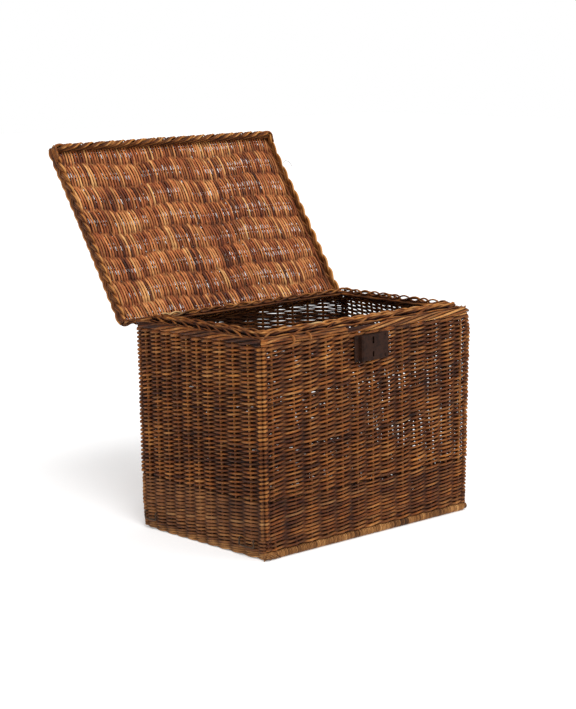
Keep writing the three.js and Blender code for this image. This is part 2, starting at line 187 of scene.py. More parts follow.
# ---- rods
TIP = 0.45  # how far a rod's end stands out past its last ring, in radii
GRAIN_ALONG, GRAIN_ROUND, GRAIN_STEP = 0.035, 0.9, 1.7  # the grain's scale on a rod, and its step between rods


class Rods:
    """Closed rods gathered into one mesh. Each point knows its tone, how much light is painted on it, how
    straw-pale.
    """

    def __init__(self):
        self.points, self.quads, self.tris, self.looks, self.grain = [], [], [], [], []
        self.count = self.rods = 0

    def add(self, path, radius, out, tone=0.5, lift=1.0, straw=0.0, sides=8, flat=1.0, closed=False, rim=0.22,
            bare=None):
        """One rod along a path. `out` is the way it faces, and `flat` its thickness that way over its width.

        Tone runs from dark 0 to light 1. Lift is how much light reaches it, painted into its colour, less at
        its sides by `rim`.
        `bare`, from -1 to 1, says how far the rod stands outside the weave, so that its hidden side takes
        painted shade.
        """
        path = np.asarray(path, float)
        n = len(path)
        given = (np.asarray(v, float) for v in (radius, tone, lift, straw))
        radius, tone, lift, straw = (np.broadcast_to(v, n) for v in given)
        tangent = (np.roll(path, -1, 0) - np.roll(path, 1, 0)) if closed else np.gradient(path, axis=0)
        tangent /= np.linalg.norm(tangent, axis=1)[:, None]
        a = np.broadcast_to(np.asarray(out, float), (n, 3))
        a = a - (a * tangent).sum(1)[:, None] * tangent
        a = a / np.linalg.norm(a, axis=1)[:, None]
        b = np.cross(tangent, a)
        turn = TAU * np.arange(sides) / sides
        cos, sin = np.cos(turn)[None, :], np.sin(turn)[None, :]
        ring = path[:, None] + radius[:, None, None] * (flat * cos[..., None] * a[:, None]
                                                        + sin[..., None] * b[:, None])
        looks = np.ones((n, sides, 4))
        looks[..., 0] = tone[:, None]
        # The second channel is painted light and shade: less on the rod's sides, and with `bare` less on its
        # side hidden in the weave.
        if bare is None:
            looks[..., 1] = lift[:, None] + rim * (cos - 0.4)
        else:
            open_to = np.clip(0.5 + 0.5 * np.asarray(bare)[:, None] * cos, 0, 1)
            looks[..., 1] = 0.02 + lift[:, None] * open_to ** 1.3 + rim * (np.abs(cos) - 0.6)
        looks[..., 2] = straw[:, None]
        along = np.concatenate([[0], np.cumsum(np.linalg.norm(np.diff(path, axis=0), axis=1))])
        seed = self.rods * GRAIN_STEP
        grain = np.empty((n, sides, 3))
        grain[..., 0] = along[:, None] * GRAIN_ALONG + seed * 5.1
        grain[..., 1] = cos * GRAIN_ROUND + seed
        grain[..., 2] = sin * GRAIN_ROUND + seed * 0.37
        points, looks, grain = ring.reshape(-1, 3), looks.reshape(-1, 4), grain.reshape(-1, 3)
        ids = self.count + np.arange(n * sides).reshape(n, sides)
        nxt = np.roll(ids, -1, axis=1)
        if closed:
            quads = np.stack([ids, nxt, np.roll(nxt, -1, 0), np.roll(ids, -1, 0)], -1)
        else:
            quads = np.stack([ids[:-1], nxt[:-1], nxt[1:], ids[1:]], -1)
            tips = self.count + n * sides + np.arange(2)
            first = np.stack([np.full(sides, tips[0]), nxt[0], ids[0]], -1)
            last = np.stack([np.full(sides, tips[1]), ids[-1], nxt[-1]], -1)
            self.tris.append(np.vstack([first, last]))
            ends = path[[0, -1]] + tangent[[0, -1]] * radius[[0, -1], None] * np.array([[-TIP], [TIP]])
            points = np.vstack([points, ends])
            looks = np.vstack([looks, looks[[0, -1]]])
            grain = np.vstack([grain, grain[[0, -1]]])
        self.quads.append(quads.reshape(-1, 4))
        self.points.append(points)
        self.looks.append(looks)
        self.grain.append(grain)
        self.count += len(points)
        self.rods += 1

    def piece(self, name, body, nodes, material, place=None):
        """Make the rods one piece that rides on a body and replaces CAD nodes. `place` moves its points."""
        points = np.concatenate(self.points)
        if place is not None:
            points = place(points)
        quads = np.concatenate(self.quads)
        tris = np.concatenate(self.tris) if self.tris else np.zeros((0, 3), int)
        mesh = bpy.data.meshes.new(name)
        mesh.vertices.add(len(points))
        mesh.vertices.foreach_set("co", (points * 0.001).astype(np.float32).ravel())
        corners = np.concatenate([quads.ravel(), tris.ravel()]).astype(np.int32)
        mesh.loops.add(len(corners))
        mesh.loops.foreach_set("vertex_index", corners)
        starts = np.concatenate([4 * np.arange(len(quads)), 4 * len(quads) + 3 * np.arange(len(tris))])
        mesh.polygons.add(len(starts))
        mesh.polygons.foreach_set("loop_start", starts.astype(np.int32))
        mesh.update(calc_edges=True)
        mesh.shade_smooth()
        looks = mesh.color_attributes.new("rod", "FLOAT_COLOR", "POINT")
        looks.data.foreach_set("color", np.concatenate(self.looks).astype(np.float32).ravel())
        grain = mesh.attributes.new("grain", "FLOAT_VECTOR", "POINT")
        grain.data.foreach_set("vector", np.concatenate(self.grain).astype(np.float32).ravel())
        mesh.materials.append(material)
        thing = bpy.data.objects.new(name, mesh)
        bpy.context.scene.collection.objects.link(thing)
        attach(thing, body)
        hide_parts(*nodes)


# ---- materials
def linear(*rgb):
    """A colour given as 0 to 255 on a screen, in linear light."""
    return tuple(((c / 255 + 0.055) / 1.055) ** 2.4 if c > 10 else c / 255 / 12.92 for c in rgb) + (1.0,)


class Nodes:
    """A material, with short ways to add nodes to it."""

    def __init__(self, name):
        self.material = bpy.data.materials.new(name)
        self.material.use_nodes = True
        self.tree = self.material.node_tree
        self.shader = self.tree.nodes["Principled BSDF"]

    def put(self, socket, value):
        if isinstance(value, bpy.types.NodeSocket):
            self.tree.links.new(value, socket)
        else:
            socket.default_value = value

    def node(self, kind, inputs=(), **settings):
        made = self.tree.nodes.new(kind)
        for key, value in settings.items():
            setattr(made, key, value)
        for key, value in dict(inputs).items():
            self.put(made.inputs[key], value)
        return made

    def shade(self, **inputs):
        """Set the shader's inputs, with _ for a space in their names."""
        for key, value in inputs.items():
            self.put(self.shader.inputs[key.replace("_", " ")], value)

    def maths(self, operation, a, b=0.0, c=0.0, clamp=False):
        return self.node("ShaderNodeMath", {0: a, 1: b, 2: c}, operation=operation, use_clamp=clamp).outputs[0]

    def blend(self, value, amount, base, clamp=False):
        """base + amount * value"""
        return self.maths("MULTIPLY_ADD", value, amount, base, clamp)

    def noise(self, vector, scale, detail=2.0, rough=0.5):
        inputs = {"Vector": vector, "Scale": scale, "Detail": detail, "Roughness": rough}
        return self.node("ShaderNodeTexNoise", inputs).outputs["Fac"]

    def ramp(self, value, stops):
        made = self.node("ShaderNodeValToRGB", {0: value})
        band = made.color_ramp
        while len(band.elements) < len(stops):
            band.elements.new(0.5)
        for element, (at, colour) in zip(band.elements, stops):
            element.position, element.color = at, colour
        return made.outputs[0]

    def mix(self, factor, a, b, kind="MIX"):
        made = self.node("ShaderNodeMix", {0: factor, 6: a, 7: b}, data_type="RGBA", blend_type=kind)
        return made.outputs[2]

    def roughen(self, height, strength, distance):
        made = self.node("ShaderNodeBump", {"Strength": strength, "Distance": distance, "Height": height})
        self.shade(Normal=made.outputs[0])


def shades(*colours):
    """A ramp from five colours, dark to light."""
    return [(at, linear(*rgb)) for at, rgb in zip((0.0, 0.28, 0.5, 0.72, 1.0), colours)]


BROWN = shades((30, 9, 3), (66, 29, 10), (106, 54, 18), (152, 88, 34), (206, 140, 70))
REDDISH = shades((50, 17, 8), (104, 46, 22), (158, 82, 42), (204, 122, 68), (238, 176, 108))
DRY = shades((42, 20, 9), (84, 46, 22), (114, 68, 36), (144, 92, 50), (186, 132, 80))
KHAKI = shades((44, 24, 10), (88, 54, 25), (128, 84, 44), (164, 114, 64), (202, 154, 98))
STRAW = [(0.25, linear(196, 150, 92)), (0.75, linear(236, 205, 150))]
SHADE_TINT = linear(96, 58, 42)  # painted shade: the tint of places deep in the weave, where little light is painted
HALF_SHADE_TINT = tuple(0.45 * c + 0.35 for c in SHADE_TINT)
PAINTED_SHADE_RAMP = [(0.0, SHADE_TINT), (0.4, HALF_SHADE_TINT), (0.85, (1, 1, 1, 1))]
MEAN_NOISE = 0.86  # what the four noises below add up to on average


def rod_material(name, stops, tone_shift=0.0, rough=0.56):
    """Willow rods. Tone picks from the ramp; places with little lift take painted shade from the shade tint;
    fibres run along each rod.
    """
    n = Nodes(name)
    rod = n.node("ShaderNodeAttribute", attribute_name="rod")
    tone, lift, straw = n.node("ShaderNodeSeparateColor", {0: rod.outputs["Color"]}).outputs[:3]
    grain = n.node("ShaderNodeAttribute", attribute_name="grain").outputs["Vector"]
    where = n.node("ShaderNodeTexCoord").outputs["Object"]
    fibre = n.noise(grain, 5.5, 3.0, 0.65)
    streak = n.noise(grain, 1.7)
    blotch = n.noise(where, 17.0, 3.0, 0.55)
    dust = n.noise(where, 210.0, 2.0, 0.6)
    value = tone
    for noise, amount in ((fibre, 0.42), (streak, 0.5), (blotch, 0.55), (dust, 0.25)):
        value = n.blend(noise, amount, value)
    value = n.maths("ADD", value, tone_shift - MEAN_NOISE, clamp=True)
    drier = n.blend(n.noise(grain, 0.8, 1.0), 4.0, -1.75, clamp=True)
    colour = n.mix(n.maths("MULTIPLY", drier, 0.75), n.ramp(value, stops), n.ramp(value, KHAKI))
    colour = n.mix(straw, colour, n.ramp(fibre, STRAW))
    # Painted shade: the ramp darkens the colour towards the shade tint where the rod's lift is low.
    light = n.blend(n.maths("SUBTRACT", blotch, 0.5), 0.35, lift)
    colour = n.mix(1.0, colour, n.ramp(light, PAINTED_SHADE_RAMP), "MULTIPLY")
    n.shade(Base_Color=colour, Specular_IOR_Level=0.2,
            Roughness=n.blend(n.noise(grain, 3.1), 0.34, rough - 0.17))
    n.roughen(n.blend(fibre, 0.7, n.maths("MULTIPLY", dust, 0.3)), 0.55, 0.0007)
    return n.material


def metal_material(name, dark, rust, bare, metallic, rough):
    """Old iron or wire: dark, with rust and a little bare metal."""
    n = Nodes(name)
    where = n.node("ShaderNodeTexCoord").outputs["Object"]
    broad, fine = n.noise(where, 42.0, 4.0, 0.6), n.noise(where, 330.0, 3.0, 0.6)
    mixed = n.blend(fine, 0.45, n.maths("MULTIPLY", broad, 0.75))
    colour = n.ramp(mixed, [(0.36, dark), (0.56, rust), (0.74, dark), (0.86, bare)])
    n.shade(Base_Color=colour, Metallic=metallic, Specular_IOR_Level=0.16,
            Roughness=n.blend(broad, 0.4, rough - 0.2))
    n.roughen(n.blend(broad, 0.6, n.maths("MULTIPLY", fine, 0.4)), 0.5, 0.0008)
    return n.material


# ---- the four walls
def stake_places(node, along):
    """Where a wall's stakes stand along it, read from the feet of the frame's stakes."""
    points = mesh_mm(node)
    foot = np.sort(points[points[:, 2] < points[:, 2].min() + 1] @ along)
    between_stakes = 12
    groups = np.split(foot, np.flatnonzero(np.diff(foot) > between_stakes) + 1)
    return np.array([g.mean() for g in groups])


class Wall:
    """One side of the basket. s runs to the right as seen from outside; off is outward from the wall's middle.

    `places` are the corners and the stakes along s. `first` counts the spaces of the walls before this one.
    """

    def __init__(self, name, along, outward, first):
        self.name, self.along, self.outward, self.first = name, along, outward, first
        self.long = abs(along[0]) > 0
        self.full_half, self.full_out = (HALF_W, HALF_D) if self.long else (HALF_D, HALF_W)
        self.half, self.out = self.full_half - MIDDLE, self.full_out - MIDDLE
        self.end = self.half - CORNER + CORNER * math.pi / 4
        self.places = np.concatenate([[-self.end], stake_places(f"{name}_stakes", along), [self.end]])
        self.spaces = len(self.places) - 1

    def ring(self, s, z, straight, out, radius, off=0.0):
        """Points on a ring with rounded corners, straight for `straight` each way, and which way is out."""
        turn = np.clip(np.abs(s) - straight, 0, None) / radius * np.sign(s)
        cos, sin = np.cos(turn), np.sin(turn)
        along = np.clip(s, -straight, straight) + (radius + off) * sin
        away = out - radius + (radius + off) * cos
        points = along[:, None] * self.along + away[:, None] * self.outward + z[:, None] * Z_AXIS
        return points + flare(points), sin[:, None] * self.along + cos[:, None] * self.outward

    def at(self, s, off, z):
        """Points in the weave, and which way is out."""
        s, off, z = np.broadcast_arrays(np.asarray(s, float), off, z)
        return self.ring(s, z, self.half - CORNER, self.out, CORNER, off)

    def inside(self, s, inset, z, radius):
        """Points on a ring set in from the outer face, with its own rounded corners."""
        s, inset, z = np.broadcast_arrays(np.asarray(s, float), inset, z)
        return self.ring(s, z, self.full_half - inset - radius, self.full_out - inset, radius)[0]

    def s_of(self, j):
        """s at a count of spaces from the wall's left end."""
        return np.interp(j, np.arange(self.spaces + 1), self.places)


WALLS = []
for name, along, outward in (("front", X_AXIS, -Y_AXIS), ("right", Y_AXIS, X_AXIS),
                             ("back", -X_AXIS, Y_AXIS), ("left", -Y_AXIS, -X_AXIS)):
    WALLS.append(Wall(name, along, outward, sum(wall.spaces for wall in WALLS)))
AROUND = sum(wall.spaces for wall in WALLS)


def closeness(wall, points):
    """How much thicker than usual the rods are. The back's left half is close; two slits show by corners."""
    x, y, z = points.T
    top = 0.15 * np.clip((z - WEAVE_TOP + 12) / 8, 0, 1)
    if wall.name == "back":
        return 1.01 + 0.27 * np.clip((45 - x) / 30, 0, 1)
    if wall.name == "front":
        by_lock = bump(x, 0, 62, 4) * np.clip((z - 380) / 20, 0, 1)
        return 1.12 + top + 0.22 * by_lock - 0.44 * bump(x, 303, 6.5)
    if wall.name == "right":
        return 1.06 + top - 0.3 * bump(y, -188, 9)
    return 1.06 + top


# A band of rods: its key, where it starts, how high it climbs in how many rows, and its rods' reach and looks.
Band = namedtuple("Band", "number foot rise rows depth thick tone flat spread rim", defaults=(1.0, 0.07, 0.3))
STEPS = 8  # points on a rod between two stakes
DIMPLE = 2.6  # how far a rod dips between the two posts of a corner
CORNER_SQUEEZE = 0.72


def rand_band(rods, wall, band):
    """A band of French randing: a rod starts at every stake and climbs one row per stake, in and out."""
    for n in range(-1 - wall.spaces, band.rows):
        j0, j1 = max(0, -1 - n), min(wall.spaces, band.rows - 1 - n)
        if j1 - j0 < 1:
            continue
        j = np.linspace(j0, j1, (j1 - j0) * STEPS + 1)
        key = (band.number, (n - wall.first) % AROUND)
        rng = chance(*key)
        thick = band.thick * rng.uniform(0.84, 1.14)
        own_tone = band.tone + rng.normal(0, band.spread)
        straw = 0.1 if rng.random() > 0.98 else 0.0
        climbed = n + j + 1
        s = wall.s_of(j)
        from_end = wall.spaces - j
        squeezed = np.where(j < 1, j ** CORNER_SQUEEZE,
                            np.where(from_end < 1, wall.spaces - from_end ** CORNER_SQUEEZE, j))
        bare = peak(np.cos(math.pi * (n + squeezed)))
        outside, inner = np.clip(bare, 0, 1), np.clip(-bare, 0, 1)
        corner = np.minimum(np.abs(s - wall.end), np.abs(s + wall.end))
        dimple = np.where(bare > 0, bump(corner, 0, 1.7), 0)
        dip = 1.2 * inner if wall.name in ("front", "left") else 0.0
        z = band.foot + band.rise / band.rows * climbed + 0.45 * wave(climbed, (*key, 7), 2.6) - dip
        points, outward = wall.at(s, band.depth * bare - DIMPLE * dimple, z)
        lift, push = sway(points)
        fade = settle(points)
        points = points + outward * (push * fade)[:, None] + np.outer(lift * fade, Z_AXIS)
        taper = np.clip(0.75 + 0.5 * np.minimum(climbed, band.rows - climbed), 0, 1)
        radius = thick * (1.1 - 0.2 * climbed / band.rows) * (1 + 0.06 * wave(climbed, (*key, 9), 1.7)) * taper
        radius = radius * (1 + 0.42 * outside * bump(corner, 4.3, 3.4)) * closeness(wall, points)
        tone = own_tone + 0.06 * patch(points) + 0.09 * wave(climbed, (*key, 11), 1.3)
        # Paler where a rod turns round a corner post outside the weave, a painted highlight, and a little
        # paler wherever it stands outside.
        tone = tone + 0.22 * bump(corner, 0, 8, 4) * np.clip(0.3 + bare, 0, 1) + 0.07 * outside
        # Painted shade in the crease where a rod dips between a corner's two posts.
        rods.add(points, radius, outward, tone, 0.95 - 0.5 * dimple, straw, flat=band.flat, rim=band.rim,
                 bare=bare)


UPPER_BANDS, UPPER_ROWS, LOWER_ROWS = 3, 24, 20
BAND_GAP = 1.2


def weave_upper(wall, material):
    rods = Rods()
    foot = BAND_TOP + 2.4
    height = (WEAVE_TOP + 2.0 - foot) / UPPER_BANDS
    for band in range(UPPER_BANDS):
        start = foot + height * band
        rand_band(rods, wall, Band(band + 1, start, height - BAND_GAP, UPPER_ROWS, 4.5, 2.5, 0.46))
    pairing(rods, wall, WEAVE_TOP - 1.5, (26, len(wall.name)), depth=3.6, thick=2.3, tone=0.5)
    rods.piece(f"weave_{wall.name}_upper", "trunk", [f"{wall.name}_upper_weave"], material)


def foot_lift(y):
    """The ends' lower edges sag: their corners stand a little higher than their middles."""
    return 3.6 * np.clip(np.abs(y) / HALF_D, 0, 1) ** 2.5


def pairing(rods, wall, z0, key, depth=3.2, thick=2.9, tone=0.48, slip=0):
    """One row of two rods that cross between every two stakes, each outside at every other stake."""
    j = np.linspace(0, wall.spaces, wall.spaces * STEPS + 1)
    for k in range(2):
        mine = (*key, k)
        turn = math.pi * (j + k + slip)
        cos = np.cos(turn)
        z = z0 + 1.7 * np.sin(turn) + 0.5 * wave(j, mine, 2)
        points, outward = wall.at(wall.s_of(j), depth * peak(cos), z)
        points[:, 2] += 0.35 * sway(points)[0]
        if not wall.long:
            points[:, 2] += foot_lift(points[:, 1]) * np.clip(1 - z0 / 60, 0, 1)
        points[:, 2] = np.maximum(points[:, 2], thick * 1.1 + 0.2)
        tones = tone + chance(*mine).normal(0, 0.06) + 0.08 * patch(points)
        tones = tones + 0.12 * wave(j, (*mine, 3), 1.2)
        radius = thick * (1 + 0.08 * wave(j, (*mine, 5), 2))
        rods.add(points, radius, outward, tones, 0.95, rim=0.2, bare=cos)


WALING_HEIGHT = 84  # from the top of the waling rows to the top of the lower band


def weave_lower(wall, material):
    rods = Rods()
    foot = (STICK_TOP if wall.long else FOOT_TOP) + 1.0
    waling = BAND_TOP - WALING_HEIGHT
    rows = 3 if wall.long else 4
    for row in range(rows):
        z0 = foot + 2.6 + (waling - foot - 4.6) * row / (rows - 1)
        pairing(rods, wall, z0, (20 + row, len(wall.name)), slip=row)
    depth, thick, flat, rim = (3.8, 2.6, 1.0, 0.3) if wall.long else (2.8, 2.95, 0.75, 0.12)
    band = Band(0, waling + 1.5, WALING_HEIGHT - 2.0, LOWER_ROWS, depth, thick, 0.42, flat, 0.05, rim)
    rand_band(rods, wall, band)
    rods.piece(f"weave_{wall.name}_lower", "trunk", [f"{wall.name}_lower_band"], material)


# The rope border: its radius, its rods', and how far along a rod goes in one trip round it.
ROPE_RADIUS, ROPE_ROD, ROPE_PITCH = 5.9, 2.95, 250.0
ROPE_START, ROPE_TURN = math.radians(-125), math.radians(345)
ROPE_Z = (WEAVE_TOP + BORDER_TOP) / 2 + 0.2
WORN_FROM, WORN_TO = -400, -120  # the front's rods that start between these are gone
THIN_TO = -70


def stakes(rods, wall):
    z = np.linspace(box_mm("base_weave")[1][2] + 1, WEAVE_TOP + 5, 64)
    for i, s in enumerate(wall.places[1:-1]):
        key = (40, wall.first + i)
        points, outward = wall.at(s + 1.1 * wave(z / 100, key, 2.2), 0.0, z)
        points = points + outward * (0.8 * sway(points)[1])[:, None]
        tone = 0.6 + chance(*key, 1).normal(0, 0.08) + 0.1 * patch(points)
        radius = 3.2 + 0.15 * wave(z / 60, (*key, 2), 1.5)
        # Painted shade on each stake, darker below the top of the lower band, where the close weave covers it.
        rods.add(points, radius, outward, tone, np.where(z < BAND_TOP, 0.3, 0.7), sides=10)


def rope(rods, wall, before):
    """The border's rods, each going once round it. Those that start on the wall before turn the corner."""
    length = ROPE_PITCH if wall.long else 0.7 * ROPE_PITCH
    s = np.linspace(-wall.end, wall.end, 60)
    points, outward = wall.at(s, -1.0, ROPE_Z)
    # A thick, dark core rod inside the rope, with painted shade.
    rods.add(points, 4.6, outward, 0.25, 0.25)
    starts = np.concatenate([before.places[:-1] - before.end - wall.end, wall.places[:-1]])
    for i, start in enumerate(starts):
        if start + length < -wall.end or (wall.name == "front" and WORN_FROM < start < WORN_TO):
            continue
        key = (50, wall.first, i)
        rng = chance(*key)
        s = np.arange(max(start, -wall.end), min(start + length, wall.end) + 0.01, 5.5)
        if len(s) < 4:
            continue
        t = (s - start) / length
        turn = ROPE_START + ROPE_TURN * t
        cos, sin = np.cos(turn), np.sin(turn)
        swell = 1 + 0.05 * wave(s / 60, key, 1.5)
        off = ROPE_RADIUS * swell * cos - 0.6
        points, outward = wall.at(s, off, ROPE_Z + (ROPE_RADIUS - 0.1) * swell * sin)
        taper = np.clip(0.5 + t * 6, 0, 1) * (1.08 - 0.25 * t) * np.clip(0.4 + (1 - t) * 8, 0, 1)
        light = 0.18 if wall.name == "front" and i % 2 else 0.0
        tone = (0.5 if wall.long else 0.3) + light + rng.normal(0, 0.11) + 0.08 * wave(s / 50, (*key, 4), 1.5)
        size = ROPE_ROD * (1 if wall.long else 1.08) * taper * rng.uniform(0.9, 1.06)
        across = cos[:, None] * outward + sin[:, None] * Z_AXIS
        rods.add(points, size, across, tone, 0.72, 0.5 * light, rim=0.75)


def stakes_and_border(wall, before, material):
    rods = Rods()
    stakes(rods, wall)
    rope(rods, wall, before)
    if wall.name == "front":
        thin_border(rods, wall)
        corner_ends(rods)
    rods.piece(f"stakes_{wall.name}", "trunk", [f"{wall.name}_stakes"], material)


def corner_ends(rods):
    """Rod ends left standing out of the border at the front right corner."""
    for k in range(9):
        rng = chance(66, k)
        x, y = HALF_W - rng.uniform(6, 22), -HALF_D + rng.uniform(4, 24)
        tip = (x + rng.uniform(6, 12), y + rng.uniform(-5, 4), ROPE_Z + rng.uniform(8, 14))
        path = smooth([(x - 4, y + 3, ROPE_Z + 3), (x + 3, y, ROPE_Z + 8), tip], 5)
        path[:, 0] = np.minimum(path[:, 0], HALF_W + 9)
        rods.add(path, rng.uniform(0.8, 1.4), Z_AXIS, 0.62 + rng.normal(0, 0.1), 0.9, 0.1, 6)


def thin_border(rods, wall):
    """The worn part of the front border: five thin rods, with two stakes turned over them."""
    s = np.linspace(-wall.end, THIN_TO, 60)
    laid = [(4.2, 1.6, 2.9), (-2.0, 4.6, 2.6), (-4.5, -2.0, 2.6), (4.0, -4.6, 2.5), (-1.0, -6.5, 2.2)]
    for k, (off, up, radius) in enumerate(laid):
        off = off + 1.2 * wave(s / 60, (61, k), 1.6)
        points, outward = wall.at(s, off, ROPE_Z + up + 1.1 * wave(s / 60, (62, k), 1.4))
        rods.add(points, radius, outward, 0.5 + 0.12 * wave(s / 40, (63, k), 1), 0.75, rim=0.6)
    for s0 in wall.places[2:4]:
        path = smooth([(s0, 0.5, WEAVE_TOP - 8), (s0 + 0.5, 2.0, WEAVE_TOP), (s0 - 0.5, 6.2, ROPE_Z - 2.5),
                       (s0 - 1.5, 6.4, ROPE_Z + 3), (s0 - 2, 1.5, ROPE_Z + 6.8), (s0 - 1, -6.5, ROPE_Z + 5.5),
                       (s0 + 4, -9.5, ROPE_Z + 1)])
        points, _ = wall.at(*path.T)
        rods.add(points, 3.0, wall.along, 0.68, 0.95)


POST_OFFSET = 4.4  # each corner stake's distance from the corner


def corner_post(wall, after, name, material):
    """Two stakes stand side by side at each corner, one on each wall."""
    rods = Rods()
    z = np.linspace(STICK_TOP + 0.5, WEAVE_TOP + 2, 64)
    for k, (side, s) in enumerate([(wall, wall.end - POST_OFFSET), (after, POST_OFFSET - after.end)]):
        key = (70, wall.first, k)
        points, outward = side.at(s + 0.6 * wave(z / 100, key, 2), -0.6, z)
        radius = 3.4 + 0.15 * wave(z / 50, (*key, 2), 1.5)
        # The posts stand within the weave and take painted shade.
        rods.add(points, radius, outward, 0.5 + 0.1 * wave(z / 80, key, 2), 0.45, sides=10)
    rods.piece(f"post_{name}", "trunk", [f"corner_post_{name}"], material)


# ---- ledge round the mouth
TOP_ROW = 40  # rows further in than this hang from the ledge's top
LEDGE_CORNER = 6.0


def twist(rods, wall, row, key, level):
    """Strands turning loosely round each other along one side of the ledge, the other way on the left."""
    reach = wall.full_half - row.inset + 2
    hand = -1 if wall.name == "left" else 1
    s = np.linspace(-reach, reach, int(reach / 2.6))
    straw = 0.0
    if row.inset > TOP_ROW and wall.name == "front":
        straw = 0.75 * bump(s, -127, 17, 4)
    elif row.inset > TOP_ROW and wall.name == "back":
        straw = 0.7 * np.clip((s - 212) / 12, 0, 1)
    for k in range(row.strands):
        rng = chance(*key, k)
        turn = TAU * (s / row.period + k / row.strands) + 0.35 * wave(s / 60, (*key, 3), 1.6)
        inset = row.inset + hand * row.reach_in * np.sin(turn) + 0.7 * wave(s / 50, (*key, k, 1), 1.5)
        up = level + row.reach_up * np.cos(turn) + 0.6 * wave(s / 45, (*key, k, 2), 1.3)
        size = row.thick * rng.uniform(0.92, 1.06) * (1 + 0.12 * wave(s / 40, (*key, k, 4), 1.1))
        tone = row.tone + rng.normal(0, 0.07) + 0.2 * wave(s / 35, (*key, k, 5), 1.0)
        points = wall.inside(s, inset, up, LEDGE_CORNER)
        # Painted light: a strand is lit at the top of its turn and in painted shade at the bottom.
        rods.add(points, size, Z_AXIS, tone, 0.5 + 0.4 * np.cos(turn), straw, 9, rim=0.45)


# One twisted row of the ledge: its inset, its height over the slope or the ledge's top, how far its strands
# reach inwards and upwards, their thickness, the length of one turn, their tone and their number.
Twist = namedtuple("Twist", "inset over reach_in reach_up thick period tone strands")
LEDGE_TWISTS = {
    "front": [Twist(20.5, 0.0, 1.6, 2.0, 2.6, 150, 0.55, 2), Twist(31.0, 0.0, 2.6, 3.0, 2.5, 120, 0.68, 3),
              Twist(43.0, -8.2, 3.0, 4.4, 2.9, 130, 0.76, 3)],
    "left": [Twist(20.5, -1.0, 1.6, 2.0, 2.3, 90, 0.4, 2), Twist(31.0, 0.0, 3.0, 3.0, 2.9, 132, 0.52, 3),
             Twist(43.0, -8.2, 3.4, 4.2, 3.2, 138, 0.58, 3)],
    "back": [Twist(20.5, -2.0, 1.6, 2.0, 2.5, 90, 0.42, 2), Twist(31.0, -5.0, 2.4, 2.6, 2.9, 90, 0.5, 2),
             Twist(43.0, -7.4, 1.5, 4.6, 2.5, 78, 0.58, 2)],
    "right": [Twist(20.5, -2.0, 1.6, 2.0, 2.5, 90, 0.42, 2), Twist(31.0, -6.0, 2.4, 2.4, 2.8, 90, 0.5, 2),
              Twist(43.0, -7.0, 1.2, 4.9, 2.1, 66, 0.58, 2)],
}
LEDGE_SLOPE = 0.86 * (LEDGE_TOP - 8 - ROPE_Z) / (LEDGE_INSET - 18 - WALL)


def slope_height(inset):
    """Height of the ledge's sloping part at an inset from the outer face."""
    return ROPE_Z + 2.0 + (inset - WALL) * LEDGE_SLOPE


def crossing_strands(rods, wall):
    """Rods that lie slantwise up the slope, from the border to the ledge's top."""
    for i, s0 in enumerate(wall.places[:-1]):
        key = (90, wall.first, i)
        rng = chance(*key)
        length = 92 + rng.uniform(-16, 16)
        top = LEDGE_TOP - 10 + rng.uniform(-2.5, 1)
        if i % 2 and wall.name != "left":
            continue
        path = smooth([(s0 - 2, 13, ROPE_Z - 2), (s0 + 4, 16, ROPE_Z + 1.5),
                       (s0 + 0.3 * length, 24, slope_height(24) + 0.6),
                       (s0 + 0.65 * length, 33, slope_height(33) + 1.0),
                       (s0 + 1.05 * length, 40, top - 2), (s0 + 1.4 * length, 44, top - 6)])
        if wall.name == "left":
            path[:, 0] = -path[:, 0]
        past_corner = np.abs(path[:, 0]) >= wall.full_half - path[:, 1] + 1.5
        stop = np.flatnonzero(past_corner & (np.arange(len(path)) > 8))
        path = path[:stop[0]] if len(stop) else path
        if len(path) < 8:
            continue
        t = np.linspace(0, 1, len(path))
        tone = 0.52 + rng.normal(0, 0.12) + 0.1 * wave(t * 3, (*key, 1), 1)
        radius = (2.9 - 0.5 * t) * rng.uniform(0.85, 1.1)
        rods.add(wall.inside(*path.T, 3.0), radius, Z_AXIS, tone, 0.75, rim=0.5)


def ledge(wall, material):
    rods = Rods()
    for i, row in enumerate(LEDGE_TWISTS[wall.name]):
        under = LEDGE_TOP if row.inset > TOP_ROW else slope_height(row.inset)
        twist(rods, wall, row, (80 + 2 * i, wall.first), under + row.over)
    crossing_strands(rods, wall)
    half = wall.full_half - LEDGE_INSET + 1
    s = np.linspace(-half, half, 120)
    for k, (inset, drop) in enumerate([(46.0, 15.5), (41.0, 17.0), (36.0, 15.0)]):
        key = (95, wall.first, k)
        up = LEDGE_TOP - drop + 0.7 * wave(s / 50, (*key, 1), 1.3)
        longer = s * (1 + (46 - inset) / 300)
        points = wall.inside(longer, inset + 0.8 * wave(s / 50, key, 1.6), up, LEDGE_CORNER)
        tone = 0.5 + 0.12 * wave(s / 70, (*key, 3), 1.2)
        # The rods hung under the ledge's top take painted shade.
        rods.add(points, 2.3 + 0.2 * wave(s / 60, (*key, 2), 1.2), Z_AXIS, tone, 0.5)
    if wall.name == "left":
        ragged_twigs(rods)
    rods.piece(f"ledge_{wall.name}", "trunk", [f"{wall.name}_ledge"], material)


def ragged_twigs(rods):
    """Broken rod ends that stick up by the ledge's back left corner."""
    for k in range(14):
        rng = chance(97, k)
        x, y = -HALF_W + rng.uniform(20, 52), HALF_D - rng.uniform(14, 95)
        z = ROPE_Z + 4 + 0.35 * (x + HALF_W - 14)
        turn = rng.uniform(0, TAU)
        reach = rng.uniform(6, 13)
        dx, dy = reach * math.cos(turn), reach * math.sin(turn)
        path = smooth([(x - dx, y - dy, z - 2), (x, y, z + rng.uniform(0.5, 2)),
                       (x + dx, y + dy, min(z + rng.uniform(1, 4), LEDGE_TOP - 2.2))], 5)
        straw = 0 if k % 3 else 0.15
        rods.add(path, rng.uniform(1.1, 1.7), Z_AXIS, 0.66 + rng.normal(0, 0.12), 0.9, straw, 6)


